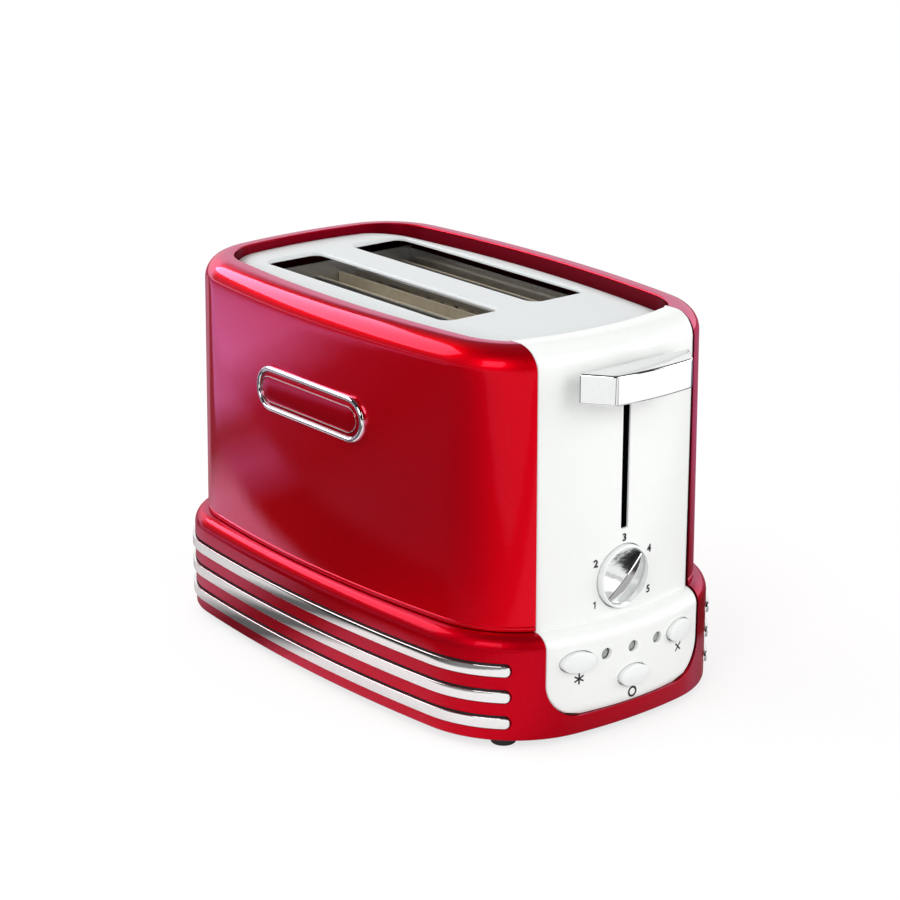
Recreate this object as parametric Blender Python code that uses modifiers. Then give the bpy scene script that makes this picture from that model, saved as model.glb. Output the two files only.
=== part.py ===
"""A two-slot bagel toaster, modelled as the pieces it comes apart into.

Metres, +Z up. The control panel faces -Y and the slots run along Y. The toaster stands on z = 0
with the middle of its bounding box over the origin. Everything is laid out about the widest
point of the casing, and one empty shifts it all along Y so that the box is centred.
"""
from collections import namedtuple
from math import atan2, cos, pi, radians, sin, sqrt

import bmesh
import bpy
from mathutils import Vector

mm = 0.001

# Gaps between pieces, and how far a cutter passes what it cuts
fit_gap = 0.3 * mm
running_gap = 0.4 * mm
overrun = 6 * mm

# Heights above the surface the toaster stands on
height = 200 * mm
skirt_bottom = 3.85 * mm
seam_height = 57.9 * mm

# Upper casing, in plan at the seam: three tangent arcs to a quarter
shell_half_width = 85.2 * mm
shell_front_reach = 143.6 * mm
shell_back_reach = 136.6 * mm
shell_side_radius = 694 * mm
shell_front_radius = 334 * mm
shell_back_radius = 270 * mm
shell_front_corner = 50 * mm
shell_back_corner = 46 * mm
shell_wall = 1.2 * mm
shell_top_share = 0.989
rim_radius = 12 * mm
rim_width = 15.8 * mm
rim_edge = 0.8 * mm
rim_flange = 10.5 * mm

# Base skirt: how far it stands out from the casing, and its own arcs
ledge_side = 5.5 * mm
ledge_front = 7.9 * mm
ledge_back = 3.6 * mm
base_side_radius = 885 * mm
base_front_radius = 259 * mm
base_back_radius = 299 * mm
base_front_corner = 58.3 * mm
base_back_corner = 44.2 * mm
base_wall = 2.5 * mm
shoulder_drop = 8 * mm
ledge_seat = 3.5 * mm
hem_radius = 1.1 * mm

# Bottom plate, feet, posts and screws
plate_thickness = 2.4 * mm
foot_radius = 8 * mm
foot_tip_radius = 7.2 * mm
foot_recess_depth = 2.2 * mm
foot_inset = 8.7 * mm
post_bite = 0.5 * mm
post_height = 12 * mm
screw_radius = 1.6 * mm
screw_head_radius = 3.2 * mm
screw_head_height = 1.4 * mm
screw_length = 12 * mm

# Chrome strips
strip_lowest = 13.6 * mm
strip_pitch = 13.65 * mm
strip_height = 5.6 * mm
strip_proud = 1.5 * mm
strip_crown = 0.5 * mm
strip_flat_share = 0.6
strip_end_share = 0.5
strip_front_end = 65.8 * mm
strip_tray_gap = 10 * mm

# Control panel
panel_half_width = 51 * mm
panel_behind_casing = 0.55 * mm
panel_radius = 172 * mm
panel_lean = 0.8 * mm
panel_thickness = 2.2 * mm
panel_step = 8.45 * mm
panel_shoulder = 7 * mm
panel_shoulder_below_seam = 0.8 * mm
panel_bottom = 13.7 * mm
panel_corner = 19 * mm
crest_depth = 19.4 * mm
crest_dip = 1.8 * mm
crest_skirt = 6 * mm
shoulder_shares = ((1, 0), (0.93, 0.33), (0.75, 0.58), (0.32, 0.83), (0, 1))

# Slotted top plate
top_below_rim = 3 * mm
top_thickness = 2 * mm
top_side_drop = 5.7 * mm
top_end_drop = 2 * mm
top_band = 22 * mm
slot_web = 22 * mm
slot_width = 35.5 * mm
slot_front_margin = 83 * mm
slot_back_margin = 44.6 * mm
slot_corner = 6 * mm
slot_lip = 1.8 * mm
slot_lip_middle_shares = (0.25, 0.5)
slot_lip_rise_share = 1 / 3
band_shares = (0, 0.2, 0.45, 0.7, 1)

# Lever
lever_below_rim = 12 * mm
lever_tall = 15 * mm
lever_half_front = 25 * mm
lever_half_back = 36.5 * mm
lever_gap = 3.95 * mm
lever_depth = 14.2 * mm
lever_bow = 1.7 * mm
lever_edge = 1.4 * mm
lever_socket = 6 * mm
arm_width = 2.2 * mm
arm_tall = 8 * mm
arm_slot_spare = 4.7 * mm

# Browning knob
knob_above_shoulder = 19.9 * mm
knob_radius = 16.75 * mm
knob_proud = 2.75 * mm
knob_thickness = 5.9 * mm
knob_face_radius = 14.25 * mm
knob_face_depth = 3.4 * mm
knob_facet_drop = 2.6 * mm
knob_pointer = radians(42)
knob_shaft_radius = 3 * mm
knob_shaft_to_board = 2.85 * mm

# Buttons, their switches and the lenses
button_half_width = 9.25 * mm
button_half_height = 5.25 * mm
button_proud = 1.9 * mm
button_dome = 1 * mm
button_crown_shares = (0.5, 0.45)
button_brow_shares = (0.82, 0.78)
button_brow_rise_share = 0.65
button_flange = 1.2 * mm
button_flange_thick = 1 * mm
button_stem_radius = 1.6 * mm
button_travel = 1.5 * mm
button_from_edge = 17 * mm
button_below_shoulder = 8.4 * mm
button_row_drop = 14.3 * mm
switch_size = 8 * mm
switch_tall = 3.7 * mm
socket_spare = 0.8 * mm
lens_radius = 2.75 * mm
lens_proud = 0.8 * mm
lens_crown_shares = (0.6, 0.7)
lens_length = 8 * mm
lens_above_buttons = 0.6 * mm

# Control board and the potentiometer
board_behind_panel = 16 * mm
board_from_edge = 5 * mm
board_bottom = 18 * mm
board_top = 92 * mm
board_thickness = 1.6 * mm
board_post_radius = 3 * mm
board_post_from_edge = 9 * mm
board_post_low_rise = 11.3 * mm
board_post_high_rise = 8.9 * mm
pot_size = 20 * mm
pot_behind_knob = 1.6 * mm

# Badge on the left side
badge_y = 1 * mm
badge_z = 147 * mm
badge_half_length = 45 * mm
badge_half_height = 12 * mm
badge_proud = 3 * mm
badge_rim = 3 * mm
badge_plate_proud = 1.8 * mm
badge_straight_shares = (1, 0.6, 0.2)
badge_round_turns = [radians(angle) for angle in (15, 35, 55, 75)]

# Bulkheads and heat shields
bulkhead_clearance = 4.7 * mm
sheet = 1.2 * mm
bulkhead_spare = 2 * mm
flange_depth = 18 * mm
shield_beyond_card = 5.75 * mm
shield_bottom = 30 * mm
shield_below_top = 9 * mm

# Heater cards and bread guards
card_beyond_slot = 3.75 * mm
card_thickness = 1.5 * mm
card_bottom = 62 * mm
card_below_top = 15 * mm
guard_inside_slot = 3 * mm
guard_pivot_height = 70 * mm
guard_rod_radius = 1.25 * mm
guard_below_top = 13 * mm
guard_end_gap = 4 * mm
guard_windows = 6
guard_bar = 3 * mm

# Carriage, lifters, guide rods, spring, magnet
lifter_below_top = 49 * mm
lifter_lowest = 78 * mm
lifter_thick = 2 * mm
lifter_width = 10 * mm
lifter_stem = 4 * mm
lifter_end_gap = 3 * mm
carriage_ahead = 4 * mm
carriage_thick = 1.5 * mm
carriage_margin = 6 * mm
carriage_below_lifter = 8 * mm
carriage_above_arm = 1.5 * mm
rod_x = 20 * mm
rod_radius = 2 * mm
bush_radius = 4.5 * mm
bush_bite = 0.5 * mm
spring_radius = 3 * mm
spring_wire = 0.5 * mm
spring_turns = 9
spring_points_per_turn = 8
hook_thick = 1.5 * mm
armature_half_width = 9 * mm
armature_thick = 1.7 * mm
armature_depth = 13 * mm
magnet_half_width = 12 * mm
magnet_tall = 26 * mm

# Crumb tray
tray_post_gap = 9.8 * mm
tray_end_gap = 5.3 * mm
tray_height = 8.5 * mm
tray_sheet = 1.2 * mm
tray_clearance = 0.8 * mm
tray_handle_overlap = 3 * mm
tray_handle_height = 10 * mm
tray_handle_proud = 1.5 * mm

# Cord inlet and terminal block
inlet_height = 34 * mm
inlet_radius = 5 * mm
inlet_flange_radius = 7.5 * mm
inlet_flange_thick = 2 * mm
inlet_bore = 3.3 * mm
inlet_inside = 3 * mm
terminal_length = 30 * mm
terminal_height = 14 * mm
terminal_depth = 12 * mm
terminal_bottom = 40 * mm

# How finely arcs are divided
side_steps = 3
corner_steps = 7
end_steps = 4
round_sides = 24
small_sides = 12

# Places that follow from the sizes above
base_half_width = shell_half_width + ledge_side
base_front_reach = shell_front_reach + ledge_front
base_back_reach = shell_back_reach + ledge_back
shell_bottom = seam_height + fit_gap
plate_top = skirt_bottom + plate_thickness
floor_height = plate_top + fit_gap
top_height = height - top_below_rim
panel_front = shell_front_reach - panel_behind_casing
slot_front = slot_front_margin - shell_front_reach
slot_back = shell_back_reach - slot_back_margin
slot_length = slot_back - slot_front
foot_recess_radius = screw_head_radius + running_gap
post_radius = foot_inset - base_wall + post_bite
slot_x = (slot_web + slot_width) / 2
front_wall = slot_front - bulkhead_clearance
back_wall = slot_back + bulkhead_clearance
bulkhead_top = height - rim_flange - running_gap
guard_offset = slot_width / 2 - guard_inside_slot
card_offset = slot_width / 2 + card_beyond_slot
shield_x = slot_x + card_offset + shield_beyond_card
bulkhead_half = shield_x + bulkhead_spare
lever_top = height - lever_below_rim
lever_bottom = lever_top - lever_tall
lever_back = panel_front + lever_gap
lever_front = lever_back + lever_depth
lifter_top = top_height - lifter_below_top
lever_travel = lifter_top - lifter_lowest
arm_top = lever_top - (lever_tall - arm_tall) / 2
arm_bottom = arm_top - arm_tall
carriage_bottom = lifter_top - lifter_thick - carriage_below_lifter
carriage_top = arm_top + carriage_above_arm
carriage_back = front_wall - sheet - carriage_ahead
carriage_front = carriage_back - carriage_thick
rod_y = carriage_front - bush_radius + bush_bite
spring_x = rod_x / 2
panel_shoulder_top = seam_height - panel_shoulder_below_seam
panel_lower_top = panel_shoulder_top - panel_shoulder
knob_height = panel_shoulder_top + knob_above_shoulder
button_side_x = panel_half_width - button_from_edge
button_side_height = panel_lower_top - button_below_shoulder
button_middle_height = button_side_height - button_row_drop
lens_spacing = button_side_x / 2
lens_height = button_side_height + lens_above_buttons
board_y = board_behind_panel - panel_front
board_half_width = panel_half_width - board_from_edge
board_post_x = panel_half_width - board_post_from_edge
board_post_low = panel_bottom + board_post_low_rise
board_post_high = panel_shoulder_top + board_post_high_rise
tray_front = front_wall + tray_end_gap
lever_reach = lever_front + lever_bow
back_reach = base_back_reach + fit_gap + inlet_flange_thick
centre_shift = (lever_reach - back_reach) / 2

Plan = namedtuple(
    "Plan", "half_width front back side_radius front_radius back_radius front_corner back_corner"
)
shell_plan = Plan(
    shell_half_width, shell_front_reach, shell_back_reach, shell_side_radius,
    shell_front_radius, shell_back_radius, shell_front_corner, shell_back_corner,
)
base_plan = Plan(
    base_half_width, base_front_reach, base_back_reach, base_side_radius,
    base_front_radius, base_back_radius, base_front_corner, base_back_corner,
)


# The scene: emptied, then one collection for the pieces and one for the shapes that cut them
for old in list(bpy.data.objects):
    bpy.data.objects.remove(old)
pieces = bpy.data.collections.new("bagel_toaster")
helpers = bpy.data.collections.new("cutters")
bpy.context.scene.collection.children.link(pieces)
bpy.context.scene.collection.children.link(helpers)

centre = bpy.data.objects.new("toaster_centre", None)
centre.location = (0, centre_shift, 0)
pieces.objects.link(centre)


def finish(name, colour, roughness, metallic=0.0):
    """A Principled material with one colour."""
    material = bpy.data.materials.new(name)
    material.use_nodes = True
    shader = material.node_tree.nodes["Principled BSDF"]
    shader.inputs["Base Color"].default_value = (*colour, 1)
    shader.inputs["Roughness"].default_value = roughness
    shader.inputs["Metallic"].default_value = metallic
    material.diffuse_color = (*colour, 1)
    return material


red = (0.43, 0.0, 0.005)
white = (0.86, 0.88, 0.86)
steel = (0.55, 0.55, 0.56)
silver = (0.8, 0.8, 0.82)
black = (0.02, 0.02, 0.02)


def add(name, mesh, look, location=(0, 0, 0), turn=(0, 0, 0), carrier=None):
    """An object for one piece, with its own material, held by the centre or by its carrier."""
    piece = bpy.data.objects.new(name, mesh)
    pieces.objects.link(piece)
    piece.parent = carrier or centre
    piece.location = location
    piece.rotation_euler = turn
    mesh.materials.clear()
    mesh.materials.append(finish(name, *look))
    return piece


def add_helper(name, mesh, location=(0, 0, 0), turn=(0, 0, 0), carrier=None):
    """A shape that only cuts or joins another."""
    helper = bpy.data.objects.new(name, mesh)
    helpers.objects.link(helper)
    helper.parent = carrier or centre
    helper.location = location
    helper.rotation_euler = turn
    helper.hide_render = True
    helper.display_type = "WIRE"
    return helper


def combine(piece, helper, operation):
    modifier = piece.modifiers.new(helper.name, "BOOLEAN")
    modifier.operation = operation
    modifier.solver = "EXACT"
    modifier.object = helper


def cut(piece, *tools):
    for tool in tools:
        combine(piece, tool, "DIFFERENCE")


def join(piece, *others):
    for other in others:
        combine(piece, other, "UNION")


def to_mesh(bm, name, smooth=True):
    bmesh.ops.recalc_face_normals(bm, faces=bm.faces)
    mesh = bpy.data.meshes.new(name)
    bm.to_mesh(mesh)
    bm.free()
    if smooth:
        mesh.shade_smooth()
        mesh.set_sharp_from_angle(angle=radians(35))
    return mesh


def box(name, low, high):
    """A cube primitive stretched between two opposite corners."""
    bm = bmesh.new()
    bmesh.ops.create_cube(bm, size=1)
    low, high = Vector(low), Vector(high)
    bmesh.ops.scale(bm, vec=high - low, verts=bm.verts)
    bmesh.ops.translate(bm, vec=(high + low) / 2, verts=bm.verts)
    return to_mesh(bm, name, smooth=False)


def loft(name, rings, closed=False):
    """Skin between rings of equally many points; the ends are capped unless it closes on itself."""
    bm = bmesh.new()
    rows = [[bm.verts.new(point) for point in ring] for ring in rings]
    count = len(rows[0])
    pairs = list(zip(rows, rows[1:] + rows[:1])) if closed else list(zip(rows, rows[1:]))
    for row, following in pairs:
        for k in range(count):
            after = (k + 1) % count
            bm.faces.new((row[k], row[after], following[after], following[k]))
    if not closed:
        bm.faces.new(rows[0])
        bm.faces.new(reversed(rows[-1]))
    return to_mesh(bm, name)


def prism(name, outline, low, high):
    """An outline in x and z, run along y."""
    return loft(name, [[(x, y, z) for x, z in outline] for y in (low, high)])


def add_turned(name, profile, look, location, turn=(0, 0, 0), sides=round_sides):
    """A piece turned from (radius, height) pairs, which run down its outer side."""
    bm = bmesh.new()
    points = [bm.verts.new((radius, 0, along)) for radius, along in profile]
    for first, second in zip(points, points[1:]):
        bm.edges.new((first, second))
    if profile[0][0] > 0:
        bm.edges.new((points[-1], points[0]))
    mesh = bpy.data.meshes.new(name)
    bm.to_mesh(mesh)
    bm.free()
    piece = add(name, mesh, look, location, turn)
    modifier = piece.modifiers.new("turned", "SCREW")
    modifier.steps = sides
    modifier.render_steps = sides
    modifier.use_merge_vertices = True
    modifier.merge_threshold = 0.00001
    modifier.use_smooth_shade = True
    return piece


def cylinder(name, radius, length, sides=round_sides):
    """A cone primitive with equal ends, from z = 0 up to its length."""
    bm = bmesh.new()
    bmesh.ops.create_cone(
        bm, cap_ends=True, segments=sides, radius1=radius, radius2=radius, depth=length
    )
    bmesh.ops.translate(bm, vec=(0, 0, length / 2), verts=bm.verts)
    return to_mesh(bm, name)


towards_back = (radians(-90), 0, 0)
towards_front = (radians(90), 0, 0)


# Plan outlines

def corner_arc(half_width, reach, side_radius, end_radius, corner_radius):
    """Centre of the corner arc, with the centres of the side and end arcs that it runs into."""
    side_centre = Vector((half_width - side_radius, 0))
    end_centre = Vector((0, reach - end_radius))
    between = end_centre - side_centre
    from_side = side_radius - corner_radius
    from_end = end_radius - corner_radius
    along = (from_side ** 2 - from_end ** 2 + between.length_squared) / (2 * between.length)
    aside = sqrt(max(from_side ** 2 - along ** 2, 0))
    unit = between.normalized()
    middle = side_centre + unit * along + Vector((-unit.y, unit.x)) * aside
    return middle, side_centre, end_centre


def quarter(half_width, reach, side_radius, end_radius, corner_radius):
    """Points (x, y, normal x, normal y) from the widest place round to the middle of the end."""
    middle, side_centre, end_centre = corner_arc(
        half_width, reach, side_radius, end_radius, corner_radius
    )
    first = atan2((middle - side_centre).y, (middle - side_centre).x)
    second = atan2((middle - end_centre).y, (middle - end_centre).x)
    arcs = (
        (side_centre, side_radius, 0, first, side_steps),
        (middle, corner_radius, first, second, corner_steps),
        (end_centre, end_radius, second, pi / 2, end_steps),
    )
    points = []
    for about, radius, start, stop, steps in arcs:
        for step in range(steps):
            turn = start + (stop - start) * step / steps
            place = about + Vector((cos(turn), sin(turn))) * radius
            points.append((place.x, place.y, cos(turn), sin(turn)))
    points.append((0, reach, 0, 1))
    return points


def half_path(plan):
    """The +x side of a plan, from the middle of the front round to the middle of the back."""
    front = quarter(
        plan.half_width, plan.front, plan.side_radius, plan.front_radius, plan.front_corner
    )
    back = quarter(
        plan.half_width, plan.back, plan.side_radius, plan.back_radius, plan.back_corner
    )
    front = [(x, -y, nx, -ny) for x, y, nx, ny in reversed(front)]
    return front[:-1] + back


def whole_path(plan):
    half = half_path(plan)
    other = [(-x, y, -nx, ny) for x, y, nx, ny in reversed(half[1:-1])]
    return half + other


def offset(path, inset, z, share=1.0):
    """The path moved inwards, at one height, and drawn in by a share."""
    return [
        Vector(((x - nx * inset) * share, (y - ny * inset) * share, z)) for x, y, nx, ny in path
    ]


def between_points(first, second, x):
    share = (x - first[0]) / (second[0] - first[0])
    return tuple(a + (b - a) * share for a, b in zip(first, second))


def stretch(path, front_end, back_end):
    """The part of a half path that lies between an x in front and an x behind."""
    kept = [point for point in path if point[0] > (front_end if point[1] < 0 else back_end)]
    first = path.index(kept[0])
    last = path.index(kept[-1])
    start = between_points(path[first - 1], path[first], front_end)
    stop = between_points(path[last + 1], path[last], back_end)
    return [start] + kept + [stop]


def foot_place(plan, reach, end_radius, corner_radius, end):
    """The spot under a corner, at 45 degrees from the corner arc's centre."""
    middle = corner_arc(
        plan.half_width, reach, plan.side_radius, end_radius, corner_radius
    )[0]
    place = middle + Vector((1, 1)).normalized() * (corner_radius - foot_inset)
    return place.x, place.y * end


shell_path = whole_path(shell_plan)
base_path = whole_path(base_plan)
front_foot = foot_place(base_plan, base_front_reach, base_front_radius, base_front_corner, -1)
rear_foot = foot_place(base_plan, base_back_reach, base_back_radius, base_back_corner, 1)
tray_handle_half = rear_foot[0] - post_radius - tray_post_gap
tray_half_width = tray_handle_half - tray_handle_overlap
strip_back_end = tray_handle_half + strip_tray_gap
feet = {
    "front_left": (-front_foot[0], front_foot[1]),
    "front_right": front_foot,
    "rear_left": (-rear_foot[0], rear_foot[1]),
    "rear_right": rear_foot,
}


def shell_share(z):
    """How far the casing has drawn in at a height."""
    return 1 - (1 - shell_top_share) * (z - seam_height) / (height - seam_height)


def arc_points(middle_a, middle_b, radius, start, stop, steps):
    """Points along an arc, both ends included."""
    turns = [start + (stop - start) * step / steps for step in range(steps + 1)]
    return [(middle_a + radius * cos(turn), middle_b + radius * sin(turn)) for turn in turns]


def rounded_outline(half_a, half_b, radius, middle_a=0.0, middle_b=0.0, steps=4):
    """A rectangle with round corners, anticlockwise."""
    points = []
    for quadrant, (sign_a, sign_b) in enumerate(((1, 1), (-1, 1), (-1, -1), (1, -1))):
        start = quadrant * pi / 2
        points += arc_points(
            middle_a + sign_a * (half_a - radius), middle_b + sign_b * (half_b - radius),
            radius, start, start + pi / 2, steps,
        )
    return points


# Front panel outline, shared by the panel and by the openings that take it

def panel_bow(x):
    return panel_radius - sqrt(panel_radius ** 2 - x ** 2)


def panel_depth(x, behind=0.0):
    """y of the upper panel surface at an x, moved back by a depth."""
    return panel_bow(x) - panel_front + behind


def panel_outline(grown):
    """The panel seen from the front: straight sides, round lower corners, open to the top."""
    half = panel_half_width + grown
    low = panel_bottom - grown
    radius = panel_corner + grown
    right = arc_points(half - radius, low + radius, radius, -pi / 2, 0, 6)
    left = [(-x, z) for x, z in reversed(right)]
    roof = height + overrun
    return left + right + [(half, roof), (-half, roof)]


def panel_opening(name, back):
    """Cuts the casing or the base open for the panel, from in front back to a depth."""
    front = -base_front_reach - overrun
    return add_helper(name, prism(name, panel_outline(fit_gap), front, back))


# Base

def make_base():
    rings = [
        offset(base_path, base_wall, skirt_bottom),
        offset(base_path, hem_radius, skirt_bottom),
        offset(base_path, 0, skirt_bottom + hem_radius),
        offset(base_path, 0, seam_height - shoulder_drop),
    ]
    outer = offset(base_path, 0, 0)
    inner = offset(shell_path, 0, 0)
    steps = 4
    for step in range(1, steps + 1):
        turn = pi / 2 * step / steps
        z = seam_height - shoulder_drop * (1 - sin(turn))
        ring = [a.lerp(b, 1 - cos(turn)) for a, b in zip(outer, inner)]
        rings.append([Vector((point.x, point.y, z)) for point in ring])
    rings.append(offset(shell_path, ledge_seat, seam_height))
    rings.append(offset(shell_path, ledge_seat, seam_height - base_wall))
    rings.append(offset(base_path, base_wall, seam_height - shoulder_drop - base_wall))
    base = add("base_shell", loft("base_shell", rings, closed=True), (red, 0.2, 0.3))
    cut(base, panel_opening("base_front_opening", -shell_front_reach + ledge_seat + rim_width))

    posts = []
    for corner, (x, y) in feet.items():
        post = cylinder("post_" + corner, post_radius, post_height)
        posts.append(add_helper("post_" + corner, post, (x, y, floor_height)))
    join(base, *posts)
    for corner, (x, y) in feet.items():
        name = "post_bore_" + corner
        bore = cylinder(name, screw_radius + fit_gap, post_height, small_sides)
        cut(base, add_helper(name, bore, (x, y, floor_height - post_height / 6)))

    tray_top = floor_height + tray_handle_height + running_gap
    half = tray_handle_half + running_gap
    opening = box(
        "tray_opening", (-half, slot_back + overrun, plate_top),
        (half, base_back_reach + overrun, tray_top),
    )
    cut(base, add_helper("tray_opening", opening))
    hole = cylinder("inlet_hole", inlet_radius + fit_gap, base_wall + overrun)
    start = base_back_reach - base_wall - overrun / 2
    cut(base, add_helper("inlet_hole", hole, (0, start, inlet_height), towards_back))
    return base


def make_bottom_plate():
    inset = base_wall + fit_gap
    rings = [offset(base_path, inset, z) for z in (skirt_bottom, plate_top)]
    plate = add("bottom_plate", loft("bottom_plate", rings), (steel, 0.35, 1.0))
    for corner, (x, y) in feet.items():
        name = "plate_hole_" + corner
        hole = cylinder(name, screw_radius + fit_gap, plate_thickness + overrun, small_sides)
        cut(plate, add_helper(name, hole, (x, y, skirt_bottom - overrun / 2)))
    return plate


def make_feet_and_screws():
    foot_top = skirt_bottom - fit_gap
    bore = screw_radius + fit_gap
    foot_profile = [
        (foot_radius, foot_top), (foot_tip_radius, 0), (foot_recess_radius, 0),
        (foot_recess_radius, foot_recess_depth), (bore, foot_recess_depth), (bore, foot_top),
    ]
    head_top = foot_recess_depth - fit_gap
    head_bottom = head_top - screw_head_height
    screw_profile = [
        (0, head_top + screw_length), (screw_radius, head_top + screw_length),
        (screw_radius, head_top), (screw_head_radius, head_top),
        (screw_head_radius, head_bottom), (0, head_bottom),
    ]
    for corner, (x, y) in feet.items():
        add_turned("foot_" + corner, foot_profile, (black, 0.7), (x, y, 0))
        add_turned(
            "screw_" + corner, screw_profile, (steel, 0.3, 1.0), (x, y, 0), sides=small_sides
        )


def make_strips():
    names = ("lower", "middle", "upper")
    half = strip_height / 2
    path = half_path(base_plan)
    full = stretch(path, strip_front_end, strip_back_end)
    inner = stretch(path, strip_front_end + half, strip_back_end + half)
    short = half * strip_end_share
    stations = [(full[0], short)] + [(point, half) for point in inner] + [(full[-1], short)]
    for level, level_name in enumerate(names):
        z = strip_lowest + level * strip_pitch
        for side, side_name in ((-1, "left"), (1, "right")):
            sections = []
            for (x, y, nx, ny), tall in stations:
                section = []
                for out, up in (
                    (fit_gap, -1), (strip_proud - strip_crown, -1),
                    (strip_proud, -strip_flat_share), (strip_proud, strip_flat_share),
                    (strip_proud - strip_crown, 1), (fit_gap, 1),
                ):
                    section.append((side * (x + nx * out), y + ny * out, z + tall * up))
                sections.append(section)
            name = "trim_" + side_name + "_" + level_name
            add(name, loft(name, sections), (silver, 0.08, 1.0))


# Upper casing

def make_shell():
    top = height - rim_radius
    outside = [(0, shell_bottom)]
    outside += [(rim_radius * (1 - cos(turn)), top + rim_radius * sin(turn))
                for turn in (pi / 2 * step / 5 for step in range(6))]
    outside += [(rim_width - rim_edge, height), (rim_width, height - rim_edge)]
    outside += [(rim_width, height - rim_flange), (rim_width - shell_wall, height - rim_flange)]
    inner_radius = rim_radius - shell_wall
    inside = [(rim_width - shell_wall, height - shell_wall)]
    inside += [(rim_radius - inner_radius * cos(turn), top + inner_radius * sin(turn))
               for turn in (pi / 2 * (1 - step / 4) for step in range(5))]
    inside += [(shell_wall, shell_bottom)]
    rings = [offset(shell_path, inset, z, shell_share(z)) for inset, z in outside + inside]
    shell = add("outer_shell", loft("outer_shell", rings, closed=True), (red, 0.12, 0.3))
    back = -shell_front_reach + rim_width + rim_edge + crest_depth
    cut(shell, panel_opening("shell_front_opening", back))
    return shell


# Front panel

def panel_profile():
    """The panel's side view as (depth behind its upper surface, height), outside then inside."""
    outside = [(-panel_step, panel_bottom)]
    outside += [(-panel_step * out, panel_lower_top + panel_shoulder * up)
                for out, up in shoulder_shares]
    bend = height - rim_radius
    outside += [(panel_lean + rim_radius * (1 - cos(turn)), bend + rim_radius * sin(turn))
                for turn in (pi / 2 * step / 5 for step in range(6))]
    outside += [(crest_depth, height), (crest_depth + crest_dip, height - crest_dip)]
    outside += [(crest_depth + crest_dip, height - crest_skirt)]
    wall = panel_thickness
    inside = [(crest_depth + crest_dip - wall, height - crest_skirt)]
    inside += [(crest_depth + crest_dip - wall, height - wall)]
    inner_radius = rim_radius - wall
    inside += [(panel_lean + rim_radius - inner_radius * cos(turn), bend + inner_radius * sin(turn))
               for turn in (pi / 2 * (1 - step / 4) for step in range(5))]
    inside += [(wall - panel_step * out, panel_lower_top + panel_shoulder * up - wall)
               for out, up in reversed(shoulder_shares)]
    inside += [(wall - panel_step, panel_bottom)]
    return outside + inside


def oval(half_width, half_height, x, z, count=20):
    turns = [2 * pi * step / count for step in range(count)]
    return [(x + half_width * cos(turn), z + half_height * sin(turn)) for turn in turns]


buttons = {
    "left": (-button_side_x, button_side_height),
    "middle": (0, button_middle_height),
    "right": (button_side_x, button_side_height),
}
lenses = {"left": -lens_spacing, "middle": 0, "right": lens_spacing}


def make_panel():
    profile = panel_profile()
    reach = panel_half_width + overrun
    steps = 10
    sections = []
    for step in range(steps + 1):
        x = reach * (2 * step / steps - 1)
        sections.append([(x, panel_depth(x, behind), z) for behind, z in profile])
    panel = add("front_panel", loft("front_panel", sections), (white, 0.15))
    trim = prism(
        "panel_trim", panel_outline(0), -base_front_reach - overrun, crest_depth - panel_front
        + crest_dip + panel_bow(reach) + overrun,
    )
    combine(panel, add_helper("panel_trim", trim), "INTERSECT")

    for side in (-1, 1):
        for level, z in (("low", board_post_low), ("high", board_post_high)):
            x = side * board_post_x
            lower = level == "low"
            wall = panel_depth(x, panel_thickness / 2 - (panel_step if lower else 0))
            name = "board_post_" + level + ("_left" if side < 0 else "_right")
            post = cylinder(name, board_post_radius, board_y - fit_gap - wall, small_sides)
            join(panel, add_helper(name, post, (x, wall, z), towards_back))

    front = -panel_front - panel_step - overrun
    slot_half = arm_width / 2 + running_gap
    slot = box(
        "lever_slot", (-slot_half, front, arm_bottom - lever_travel - arm_slot_spare),
        (slot_half, panel_thickness + overrun / 2 - panel_front, arm_top + running_gap),
    )
    cut(panel, add_helper("lever_slot", slot))
    hole = cylinder("knob_hole", knob_radius + running_gap, overrun + overrun)
    cut(panel, add_helper("knob_hole", hole, (0, -panel_front - overrun, knob_height), towards_back))
    for side, (x, z) in buttons.items():
        outline = oval(button_half_width + running_gap, button_half_height + running_gap, x, z)
        name = "button_hole_" + side
        cut(panel, add_helper(name, prism(name, outline, front, -panel_front)))
    for side, x in lenses.items():
        outline = oval(lens_radius + fit_gap, lens_radius + fit_gap, x, lens_height, small_sides)
        name = "lens_hole_" + side
        cut(panel, add_helper(name, prism(name, outline, front, -panel_front)))
    return panel


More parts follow.
